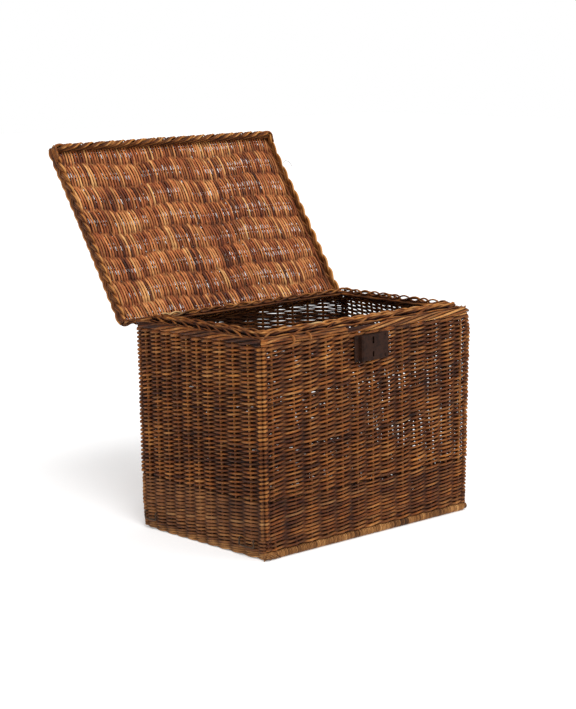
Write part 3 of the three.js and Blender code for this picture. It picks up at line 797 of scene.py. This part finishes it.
# ---- base
def ribs(name, body, sticks, z0, bow, size, tone, sides, material, place=None):
    """The sticks that a mat is woven round. `bow` is how far apart a stick's bends are and their key's number.

    `size` is the radius, how much it changes, and its key's number.
    """
    for i, (a, b) in enumerate(sticks):
        x = np.linspace(a[0], b[0], 50)
        y = (a[1] + b[1]) / 2 + 0.4 * wave(x / bow[0], (bow[1], i), 2)
        radius = size[0] + size[1] * wave(x / 80, (size[2], i), 2)
        rods = Rods()
        rods.add(np.stack([x, y, z0 + 0 * x], 1), radius, Z_AXIS, tone, 0.6, sides=sides)
        rods.piece(f"{name}_rib_{i + 1}", body, [f"{name}_stick_{i + 1}"], material, place)


def base(mat_material, stick_material):
    low, high = box_mm("base_weave")
    middle = (low[2] + high[2]) / 2
    sticks = [box_mm(f"base_stick_{i}") for i in range(1, 7)]
    stick_y = [(a[1] + b[1]) / 2 for a, b in sticks]
    between_sticks = stick_y[1] - stick_y[0]
    rods = Rods()
    pitch = 4.5
    y = np.linspace(low[1] + 2, high[1] - 2, 60)
    for i in range(int((high[0] - low[0] - 8) / pitch)):
        key = (110, i)
        rng = chance(*key)
        x = low[0] + 6 + pitch * i + rng.uniform(-0.4, 0.4) + 0.5 * wave(y / 60, key, 2)
        cos = np.cos(math.pi * ((y - stick_y[0]) / between_sticks + i))
        points = np.stack([x, y, middle + 4.4 * peak(cos)], 1)
        radius = 1.95 * rng.uniform(0.88, 1.1)
        # Painted light on the rods where they rise over a stick, painted shade where they dip under one.
        rods.add(points, radius, Z_AXIS, 0.45 + rng.normal(0, 0.12), 0.45 + 0.3 * cos, sides=6)
    rods.piece("base_mat", "trunk", ["base_weave"], mat_material)
    ribs("base", "trunk", sticks, middle, (100, 115), (4.1, 0.2, 116), 0.4, 12, stick_material)


BARE_END = 38.0  # how much of the stick's left end has no rods round it
WRAP_ROD, WRAP_PITCH, WRAP_STEPS = 2.25, 4.6, 14


def wrapped_stick(name, material):
    """The thick stick along the foot of a long side, its left end bare, bound by rods turning round it."""
    low, high = box_mm(f"base_stick_{name}")
    y0, z0 = (low[1] + high[1]) / 2, (low[2] + high[2]) / 2
    outer = (high[2] - low[2]) / 2
    rods = Rods()
    x = np.linspace(low[0] + (1 if name == "front" else 16), high[0] - 1, 120)
    core = np.stack([x, y0 + 0.5 * wave(x / 70, (119, len(name)), 1), z0 + 0 * x], 1)
    knob = np.clip((low[0] + BARE_END - x) / 10, 0, 1)
    radius = outer - 2.9 + 1.9 * knob * (1 + 0.22 * np.sin(x / 5.5))
    radius = radius + 0.25 * wave(x / 60, (120, len(name)), 2)
    # The core takes painted shade, less on its bare end than under the wrapping.
    rods.add(core, radius, Z_AXIS, 0.45 + 0.1 * wave(x / 12, (118, 1), 1.0), 0.5 + 0.2 * knob, sides=16)
    first = low[0] + BARE_END - 6
    turns = int((high[0] - first - 6) / WRAP_PITCH)
    done = 0
    while done < turns:
        key = (125, len(name), done)
        rng = chance(*key)
        run = min(int(rng.integers(2, 7)), turns - done)
        t = np.linspace(0, run, run * WRAP_STEPS + 1)
        angle = TAU * t + 0.5
        cos, sin = np.cos(angle), np.sin(angle)
        along = first + WRAP_PITCH * (done + t) + 0.8 * np.sin(angle + rng.uniform(0, 1))
        along = along + 0.6 * wave(t, key, 1.2)
        away = outer - WRAP_ROD + 0.05 + 0.2 * wave(t, (*key, 1), 1.0)
        points = np.stack([along, y0 + away * cos, z0 + away * sin], 1)
        tone = 0.5 + rng.normal(0, 0.15) + 0.12 * wave(t, (*key, 2), 1.5)
        radius = WRAP_ROD * rng.uniform(0.78, 1.0)
        rods.add(points, radius, np.stack([0 * t, cos, sin], 1), tone, 0.72, sides=7, flat=0.9, rim=0.6)
        done += run
    if name == "front":
        ragged_end(rods, low, y0, z0, outer)
    rods.piece(f"wrapped_stick_{name}", "trunk", [f"base_stick_{name}"], material)


def ragged_end(rods, low, y0, z0, outer):
    """Short broken rod ends lying over and round the bare end of the front stick."""
    for k in range(16):
        rng = chance(129, k)
        x0 = low[0] + 1 + 2.6 * k + rng.uniform(-2, 2)
        middle = rng.uniform(0.25, 1.6) * math.pi
        path = []
        for f in (-1, -0.3, 0.4, 1):
            angle = middle + 0.5 * f * rng.uniform(0.5, 1)
            away = outer - 1.3 + 0.8 * f * f
            x = x0 + rng.uniform(3, 8) * f
            path.append((x, y0 + away * math.cos(angle), max(z0 + away * math.sin(angle), 2.2)))
        radius = 1.7 * rng.uniform(0.8, 1.2)
        rods.add(smooth(path, 4), radius, Z_AXIS, 0.5 + rng.normal(0, 0.16), 0.8, sides=6, rim=0.5)


def foot_border(wall, material):
    """The lowest rows of an end wall, below the pairing rows."""
    low, high = box_mm(f"base_border_{wall.name}")
    rods = Rods()
    for row, z0 in enumerate(np.linspace(low[2] + 2.9, high[2] - 1.6, 3)):
        pairing(rods, wall, z0, (130 + row, len(wall.name)), thick=2.6, tone=0.52, slip=row + 1)
    rods.piece(f"foot_{wall.name}", "trunk", [f"base_border_{wall.name}"], material)


# ---- lid, made closed, with its origin on the hinge line, and then opened
hinge = next(j for j in frame["joints"] if j["name"] == "lid_hinge")
HINGE = np.array(hinge["pos_m"]) * 1000
OPEN = math.radians(hinge["range_deg"][1])
LID_MIDDLE_X = centre_mm("lid_border_front")[0]
LID_HALF = box_mm("lid_border_front")[1][0] - LID_MIDDLE_X


def bend(points):
    """The lid's rims are worn out of true: the right one is thin near the front, the left one bows in."""
    x, y, z = points.T
    toward = np.clip((-y - 20) / 440, 0, 1)
    right = 5.5 * np.clip((x - LID_HALF + 10) / 10, 0, 1.2) * bump(toward, 0.86, 0.22)
    left = 2.5 * np.clip((-x - LID_HALF + 12) / 12, 0, 1.2) * np.sin(math.pi * toward)
    corner = 5.0 * np.clip(x / LID_HALF, 0, 1) ** 14 * np.clip((toward - 0.94) / 0.06, 0, 1)
    return np.stack([x - right + left, y + corner, z], 1)


def to_open(points):
    """From the closed lid's own axes to the lid as it stands open."""
    x, y, z = bend(points).T
    cos, sin = math.cos(OPEN), math.sin(OPEN)
    return np.stack([x + LID_MIDDLE_X, HINGE[1] + y * cos + z * sin, HINGE[2] - y * sin + z * cos], 1)


def from_open(points):
    """The reverse of to_open, without the bend."""
    x, y, z = points.T
    cos, sin = math.cos(OPEN), math.sin(OPEN)
    y, z = y - HINGE[1], z - HINGE[2]
    return np.stack([x - LID_MIDDLE_X, y * cos - z * sin, y * sin + z * cos], 1)


def lid_box(node):
    """The lowest and highest corners of one of the lid's nodes, in the closed lid's axes."""
    points = from_open(mesh_mm(node))
    return points.min(0), points.max(0)


LID_PITCH = 4.0
CLOSE_AT = 0.37  # the part of a stroke, by its cosine, where rods pass each other and have to fill the gap


def lid_rods(rods, low, high, stick_y, z0):
    """The lid's mat: rods from back to front, each over one stick and under the next."""
    between_sticks = stick_y[1] - stick_y[0]
    y = np.linspace(low[1] - 4, high[1] + 4, 68)
    for i in range(int((high[0] - low[0] - 1) / LID_PITCH)):
        key = (140, i)
        rng = chance(*key)
        x0 = low[0] + 1.5 + LID_PITCH * i
        turn = math.pi * ((y - stick_y[0]) / between_sticks + i) + rng.normal(0, 0.12)
        turn = turn + 0.25 * np.sin(x0 / 41 + y / 90)
        cos = np.cos(turn)
        x = x0 + rng.uniform(-0.5, 0.5) - 0.0005 * x0 * (y - y.mean()) / 10 + 0.35 * wave(y / 60, key, 1.4)
        x = x + 1.3 * np.sin(y / 90 + x0 / 130) + 0.7 * np.sin(y / 41 + x0 / 57) + 1.9 * cos
        points = np.stack([np.clip(x, low[0] + 1, high[0] - 1), y, z0 - 4.5 * peak(cos)], 1)
        clump = np.sin(x0 / 37 + 1.1 * np.sin(y / 60)) * np.sin(y / 80 + x0 / 90)
        swell = 2.3 + 0.75 * np.abs(cos) ** 1.5 + (1.75 - 0.3 * clump) * bump(np.abs(cos), CLOSE_AT, 0.25)
        radius = swell * rng.uniform(0.88, 1.08) * (1 + 0.06 * wave(y / 60, (*key, 1), 1.5))
        # Painted shade on the lower half of each band as the lid stands open, where a stroke tucks under the
        # next band.
        under = np.clip(np.sin(turn) * np.sign(cos), 0, 1) ** 2
        row = np.clip(np.round(turn / math.pi - i + 2), 0, 13).astype(int)
        tone = 0.46 + rng.normal(0, 0.06) + rng.normal(0, 0.15, 14)[row]
        tone = tone + 0.08 * np.sin(x0 / 60 + y / 70 + 1.1 * np.sin(y / 50))
        tone = tone + 0.06 * wave(y / 40, (*key, 2), 1.2)
        rods.add(points, radius, -Z_AXIS, tone, 1.12 - 0.5 * under, flat=0.74, rim=0.75, bare=cos)


def lid_edges(rods, low, high, z0):
    """Rods that close the mat's edges: two at the front and back, and three up each end rim, all with painted
    shade.
    """
    x = np.linspace(low[0] - 2, high[0] + 2, 80)
    for k, edge in enumerate((low[1], low[1] + 1, high[1], high[1] - 1)):
        up = z0 - 3.5 * (-1) ** k
        points = np.stack([x, edge + 0.5 * wave(x / 60, (142, k), 1.5), up + 0 * x], 1)
        rods.add(points, 2.8, -Z_AXIS, 0.42, 0.4, sides=6)
    y = np.linspace(low[1], high[1], 60)
    for k, (side, up) in enumerate([(-1, 21), (-1, 27), (-1, 31), (1, 21), (1, 27), (1, 31)]):
        edge = side * (high[0] + 0.8) + 0.6 * wave(y / 50, (143, k), 1.5)
        points = np.stack([edge, y, up + 0.6 * wave(y / 40, (144, k), 1.5)], 1)
        rods.add(points, 3.0, -Z_AXIS, 0.42, 0.45, sides=6)


def lid_panel(material, stick_material):
    low, high = lid_box("lid_weave")
    sticks = [lid_box(f"lid_stick_{i}") for i in range(1, 9)]
    stick_y = [(a[1] + b[1]) / 2 for a, b in sticks]
    z0 = (sticks[0][0][2] + sticks[0][1][2]) / 2
    rods = Rods()
    lid_rods(rods, low, high, stick_y, z0)
    lid_edges(rods, low, high, z0)
    rods.piece("lid_mat", "lid", ["lid_weave"], material, to_open)
    ribs("lid", "lid", sticks, z0, (90, 145), (2.55, 0.1, 146), 0.5, 10, stick_material, to_open)


TIE_REACH = 10.4  # the back plait keeps above this where a tie goes round the pin


def plait(rods, start, end, thin, repeat, half_wide, half_thin, key, rod, glow=0.0, clear=()):
    """A flat three-strand plait, each strand of three rods, from start to end, its width upright.

    It repeats every `repeat`. `glow` makes it paler, in tone and with painted light, and `clear` is where
    along x the ties need room below it.
    """
    start, end = np.array(start, float), np.array(end, float)
    length = np.linalg.norm(end - start)
    along = (end - start) / length
    t = np.arange(0, length + 0.01, 3.4)
    gap = rod * 1.95
    reach_wide, reach_thin = half_wide - gap - rod, half_thin - rod
    for strand in range(3):
        rng = chance(*key, strand)
        turn = TAU * t / repeat + TAU * strand / 3 + 0.12 * wave(t / 60, (*key, strand, 5), 2)
        sin, bow = np.sin(turn), np.abs(np.sin(turn))
        slope = reach_wide * np.cos(turn) * TAU / repeat
        size = np.sqrt(1 + slope ** 2)
        for q in (-1, 0, 1):
            shift = q * gap * (1 + 0.06 * wave(t / 40, (*key, strand, q + 7), 1.5))
            centre = start + np.outer(t - shift * slope / size, along)
            centre = centre + np.outer(reach_wide * sin + shift / size, Z_AXIS)
            over = 0.95 * reach_thin * np.sin(2 * turn) + 0.25 * wave(t / 30, (*key, strand, q + 3), 1)
            centre = centre + np.outer(over, thin)
            reached = (centre - start) @ along
            centre = centre + np.outer(np.clip(reached, -1, length + 1) - reached, along)
            for x0 in clear:
                centre[:, 2] += bump(centre[:, 0], x0, 10, 6) * np.maximum(TIE_REACH - centre[:, 2], 0)
            # Painted highlight on the outer rod at the plait's upper and lower edges, and painted shade
            # towards its middle; `glow` adds painted light as well as a paler tone.
            edge = np.clip(q * sin, 0, 1) ** 2
            tone = 0.34 + glow + 0.06 * bow + 0.46 * edge + rng.normal(0, 0.06)
            tone = tone + 0.06 * wave(t / 50, (*key, strand, q + 11), 1.5)
            lift = 0.4 + 1.5 * glow + 0.25 * bow ** 1.5 + 0.5 * edge
            rods.add(centre, rod * rng.uniform(0.9, 1.08), thin, tone, lift, rim=0.35)


def wraps(rods, start, end, profile):
    """Strands laid slantwise over the front rim in threes. The profile gives part of the lean, y and z."""
    pitch, lean, rod, key = 31.5, 66, 2.35, (153,)
    for i, x0 in enumerate(np.arange(start - lean, end, pitch)):
        rng = chance(*key, i)
        for q in range(3):
            path = smooth([(x0 + 7.4 * q + lean * f, y, z) for f, y, z in profile], 5)
            path[:, 1:] += (path[:, 1:] - [(profile[1][1] + profile[-1][1]) / 2, 16]) * (0.05 * q - 0.06)
            path = path[(path[:, 0] > start) & (path[:, 0] < end)]
            if len(path) < 6:
                continue
            t = np.linspace(0, 1, len(path))
            tone = (0.36, 0.5, 0.8)[q] + rng.normal(0, 0.05) + 0.1 * wave(t * 3, (*key, i, q), 1.0)
            radius = rod * rng.uniform(0.9, 1.05) * np.clip(1.1 - 0.2 * t, 0, 1)
            # Painted light that grows along each strand, dim at its start and lit at its end.
            rods.add(path, radius, -Z_AXIS, tone, 0.5 + 0.45 * t, sides=7, rim=0.5)


def corner_knot(rods, sign, low, high, key):
    """Strands that turn round the corner between the front rim and an end rim, over their lower edges."""
    edge, inner = (low[0], high[0]) if sign < 0 else (high[0], low[0])
    for k in range(6):
        rng = chance(*key, k)
        shift = 4.0 * k
        deep = -4.2 + 0.5 * k if k < 3 else 0.5 + 5.5 * (k - 3)
        path = smooth([(inner - sign * (26 - shift), low[1] - 4.5, 5 + deep),
                       (inner - sign * 8, low[1] - 6.0, deep), (edge - sign * 4.5, low[1] - 3.0, deep - 0.5),
                       (edge - sign * 2.5, low[1] + 6, deep),
                       (edge - sign * 2.5, low[1] + 17 + shift, 3 + deep)], 6)
        t = np.linspace(0, 1, len(path))
        radius = 2.5 * rng.uniform(0.9, 1.08)
        tone = 0.56 + rng.normal(0, 0.1) + 0.1 * np.sin(t * 5 + k)
        rods.add(path, radius, -Z_AXIS, tone, 0.85, rim=0.6)


def front_rim(rods, low, high):
    (_, y, z), (_, half_y, half_z) = (low + high) / 2, (high - low) / 2
    plait(rods, (low[0] + 4, y, z), (high[0] - 4, y, z), Y_AXIS, 126, half_z - 0.3, half_y, (150,), 2.2, 0.08)
    profile = [(0, high[1] + 0.6, 20), (0.16, high[1] + 1.9, 14), (0.42, high[1] + 1.9, 7.5),
               (0.66, high[1] + 0.8, 1.2), (0.85, y, -2.6), (1.0, low[1] + 2.6, 1.5), (1.1, low[1] + 2.4, 7)]
    wraps(rods, low[0] + 8, high[0] - 8, profile)


def back_rim(rods, low, high):
    """A plait over the hinge pin, which is narrower inside the ties, with small loops that bind the two."""
    ties = [centre_mm(f"hinge_tie_{side}")[0] - LID_MIDDLE_X for side in ("left", "right")]
    foot = 7.4
    y, z = (low[1] + high[1]) / 2, (high[2] + foot) / 2
    plait(rods, (low[0] + 8, y, z), (high[0] - 8, y, z), Y_AXIS, 100, (high[2] - foot) / 2,
          (high[1] - low[1]) / 2, (151,), 1.9, clear=ties)
    x = np.linspace(low[0] + 2, high[0] - 2, 120)
    narrow = sum(bump(x, x0, 9, 4) for x0 in ties)
    rods.add(np.outer(x, X_AXIS), 2.25 - 0.45 * narrow, Z_AXIS, 0.5, 0.8, sides=10)
    angle = np.linspace(0, TAU, 20, endpoint=False)
    cos, sin = np.cos(angle), np.sin(angle)
    for x0 in np.arange(low[0] + 30, high[0] - 20, 46):
        if min(abs(x0 - t) for t in ties) < 12:
            continue
        loop = np.stack([x0 + 1.5 * sin, -2.2 + 4.2 * cos, 4.2 + 5.2 * sin], 1)
        rods.add(loop, 1.1, X_AXIS, 0.5, 0.8, sides=6, closed=True)


def end_rim(rods, low, high, sign):
    (x, _, z), (half_x, _, half_z) = (low + high) / 2, (high - low) / 2
    repeat, glow = (112, 0.26) if sign > 0 else (81, 0.06)
    plait(rods, (x, low[1] - 6, z), (x, high[1] + 4, z), X_AXIS * sign, repeat, half_z - 0.3, half_x,
          (152, 1 + sign), 2.3, glow)
    corner_knot(rods, sign, low, high, (156, 1 + sign))
    if sign > 0:
        loose_fibre(rods, high[0], low[1] + 95, low[2])


def loose_fibre(rods, x, y, z):
    """A thin fibre that stands out from the right rim."""
    fibre = smooth([(x - 3, y - 4, z + 2), (x + 2, y - 8, z - 1), (x + 9, y - 9, z - 3),
                    (x + 16, y - 3, z - 4), (x + 20, y + 8, z - 3)])
    rods.add(fibre, 0.55, Z_AXIS, 0.35, 0.8, sides=5)


def lid_borders(material):
    for name in ("front", "back", "left", "right"):
        low, high = lid_box(f"lid_border_{name}")
        rods = Rods()
        if name == "front":
            front_rim(rods, low, high)
        elif name == "back":
            back_rim(rods, low, high)
        else:
            end_rim(rods, low, high, -1 if name == "left" else 1)
        rods.piece(f"lid_plait_{name}", "lid", [f"lid_border_{name}"], material, to_open)


def lashing(material):
    """Four turns of cane round the middle of the front rim, of a rounded square shape."""
    low, high = lid_box("hasp_lashing")
    middle, half = (low + high) / 2, (high - low) / 2
    rods = Rods()
    angle = np.linspace(0, TAU, 36, endpoint=False)
    cos, sin = np.cos(angle), np.sin(angle)
    square = np.maximum(np.abs(cos), np.abs(sin)) ** 0.55
    y, z = middle[1] + (half[1] - 0.9) * cos / square, middle[2] + (half[2] - 0.9) * sin / square
    across = np.stack([0 * angle, cos, sin], 1)
    for k in range(4):
        x = middle[0] + (k - 1.5) * 2.1 + 1.4 * np.sin(angle + k * 2.1)
        rods.add(np.stack([x, y, z], 1), 1.35, across, 0.7, 0.95, 0.75, 7, flat=0.55, closed=True)
    rods.piece("lashing", "lid", ["hasp_lashing"], material, to_open)


# ---- ties and wire
def outline(y, z, turn):
    """How far out the points reach at each angle of turn, smoothed a little."""
    angle, away = np.arctan2(z, y), np.hypot(z, y)
    reach = []
    for a in turn:
        near = np.abs((angle - a + math.pi) % TAU - math.pi) < 0.35
        reach.append(away[near].max() if near.any() else np.nan)
    reach = np.array(reach)
    known = ~np.isnan(reach)
    reach = np.interp(turn, turn[known], reach[known])
    return (np.roll(reach, 1) + reach + np.roll(reach, -1)) / 3


def hinge_ties(material):
    """Each tie is two turns of cane that follow the frame's tie, just inside its outline."""
    turn = np.linspace(-math.pi, math.pi, 49)[:-1]
    cos, sin = np.cos(turn), np.sin(turn)
    for name in ("left", "right"):
        node = f"hinge_tie_{name}"
        low, high = box_mm(node)
        x0, y0, z0 = centre_mm(node)
        _, y, z = (mesh_mm(node) - centre_mm(node)).T
        reach = outline(y, z, turn) - 1.4
        rods = Rods()
        for k in (-1, 1):
            lean = 0.8 * np.sin(turn * 2 + k)
            loop = np.stack([x0 + 2.3 * k + lean, y0 + reach * cos, z0 + reach * sin], 1)
            loop[:, 1:] = np.clip(loop[:, 1:], low[1:] + 1.7, high[1:] - 1.7)
            rods.add(loop, 2.2, np.stack([0 * turn, cos, sin], 1), 0.6, 0.9, 0.2, flat=0.5, closed=True)
        rods.piece(f"tie_{name}", "trunk", [node], material)


def staple(name, node, sign, material):
    """A wire whose two legs go into the border and whose middle hangs down outside it."""
    low, high = box_mm(node)
    face = sign * (max(abs(low[0]), abs(high[0])) + 0.6)
    inner = sign * (HALF_W - 6)
    y0, y1, z0, z1 = low[1] + 0.5, high[1] - 0.5, low[2] + 4.5, high[2] + 1.5
    lean = 1.2
    path = smooth([(inner, y0 + lean, z1), (face - sign * 2, y0 + lean, z1 + 0.5), (face, y0 + lean, z1 - 3),
                   (face, y0, (z0 + z1) / 2), (face, y0 + 0.6, z0 + 3), (face, y0 + 4, z0),
                   (face + sign * 0.4, (y0 + y1) / 2, z0 - 0.6), (face, y1 - 4, z0),
                   (face, y1 - 0.4, z0 + 3), (face, y1 - 1, (z0 + z1) / 2), (face, y1 - lean, z1 - 3),
                   (face - sign * 2, y1 - lean, z1 + 0.5), (inner, y1 - lean, z1)], 5)
    rods = Rods()
    rods.add(path + flare(path), 1.75, (0.3 * sign, 0.2, 0.93), 0.5, 0.9, sides=10)
    rods.piece(name, "trunk", [node], material)


# ---- build
make_camera()

weave_mat = rod_material("willow_weave", BROWN)
lower_mat = rod_material("willow_lower", DRY, 0.02, 0.62)
border_mat = rod_material("willow_border", BROWN, 0.05)
base_mat = rod_material("willow_base", KHAKI, 0.06, 0.62)
stick_mat = rod_material("willow_stick", BROWN, -0.08)
lid_mat = rod_material("willow_lid", REDDISH, 0.13, 0.55)
lid_border_mat = rod_material("willow_lid_border", BROWN, 0.03, 0.52)
cane_mat = rod_material("cane", BROWN, 0.2)
iron_mat = metal_material("rusty_iron", linear(26, 12, 7), linear(50, 26, 14), linear(84, 62, 46), 0.0, 0.66)
wire_mat = metal_material("steel_wire", linear(52, 44, 36), linear(78, 60, 46), linear(116, 104, 92), 0.5, 0.5)

for index, wall in enumerate(WALLS):
    weave_upper(wall, weave_mat)
    weave_lower(wall, weave_mat if wall.long else lower_mat)
    stakes_and_border(wall, WALLS[index - 1], border_mat)
    ledge(wall, border_mat)
for index, name in enumerate(("front_right", "back_right", "back_left", "front_left")):
    corner_post(WALLS[index], WALLS[(index + 1) % 4], name, border_mat)
base(base_mat, stick_mat)
for name in ("front", "back"):
    wrapped_stick(name, base_mat)
foot_border(WALLS[3], base_mat)
foot_border(WALLS[1], base_mat)
lid_panel(lid_mat, stick_mat)
lid_borders(lid_border_mat)
lashing(cane_mat)
hinge_ties(cane_mat)
for side, sign in (("left", -1), ("right", 1)):
    for end in ("front", "back"):
        staple(f"wire_{side}_{end}", f"wire_staple_{side}_{end}", sign, wire_mat)

rivets = [f"lock_rivet_{i}" for i in range(1, 5)]
for node in ("lock_plate", "lock_case", "lock_bolt", "lock_key_pin", *rivets):
    mesh = frame["nodes"][node].data
    mesh.materials.clear()
    mesh.materials.append(iron_mat)

# ---- floor and light
floor_mesh = bpy.data.meshes.new("floor")
floor_mesh.from_pydata([(-14, -14, 0), (14, -14, 0), (14, 14, 0), (-14, 14, 0)], [], [(0, 1, 2, 3)])
floor = bpy.data.objects.new("floor", floor_mesh)
floor_look = Nodes("floor")
floor_look.shade(Base_Color=(0.9, 0.9, 0.9, 1), Roughness=0.8, Emission_Color=(1, 1, 1, 1),
                 Emission_Strength=0.28)
floor_mesh.materials.append(floor_look.material)
bpy.context.scene.collection.objects.link(floor)

# A white backdrop that lights the trunk only half as brightly as it looks.
world = bpy.data.worlds.new("studio")
world.use_nodes = True
sky = world.node_tree.nodes["Background"]
sky.inputs["Color"].default_value = (1, 1, 1, 1)
seen = world.node_tree.nodes.new("ShaderNodeLightPath")
strength = world.node_tree.nodes.new("ShaderNodeMapRange")
strength.inputs["To Min"].default_value, strength.inputs["To Max"].default_value = 0.5, 1.0
world.node_tree.links.new(seen.outputs["Is Camera Ray"], strength.inputs["Value"])
world.node_tree.links.new(strength.outputs["Result"], sky.inputs["Strength"])
bpy.context.scene.world = world


def sun(name, towards, power, softness):
    data = bpy.data.lights.new(name, "SUN")
    data.energy, data.angle = power, math.radians(softness)
    lamp = bpy.data.objects.new(name, data)
    lamp.rotation_euler = Vector(towards).to_track_quat("-Z", "Y").to_euler()
    bpy.context.scene.collection.objects.link(lamp)


sun("key", (0.28, 0.52, -0.81), 1.75, 26)
sun("side", (-0.45, 0.55, -0.70), 0.6, 40)
bpy.context.scene.view_settings.view_transform = "Standard"
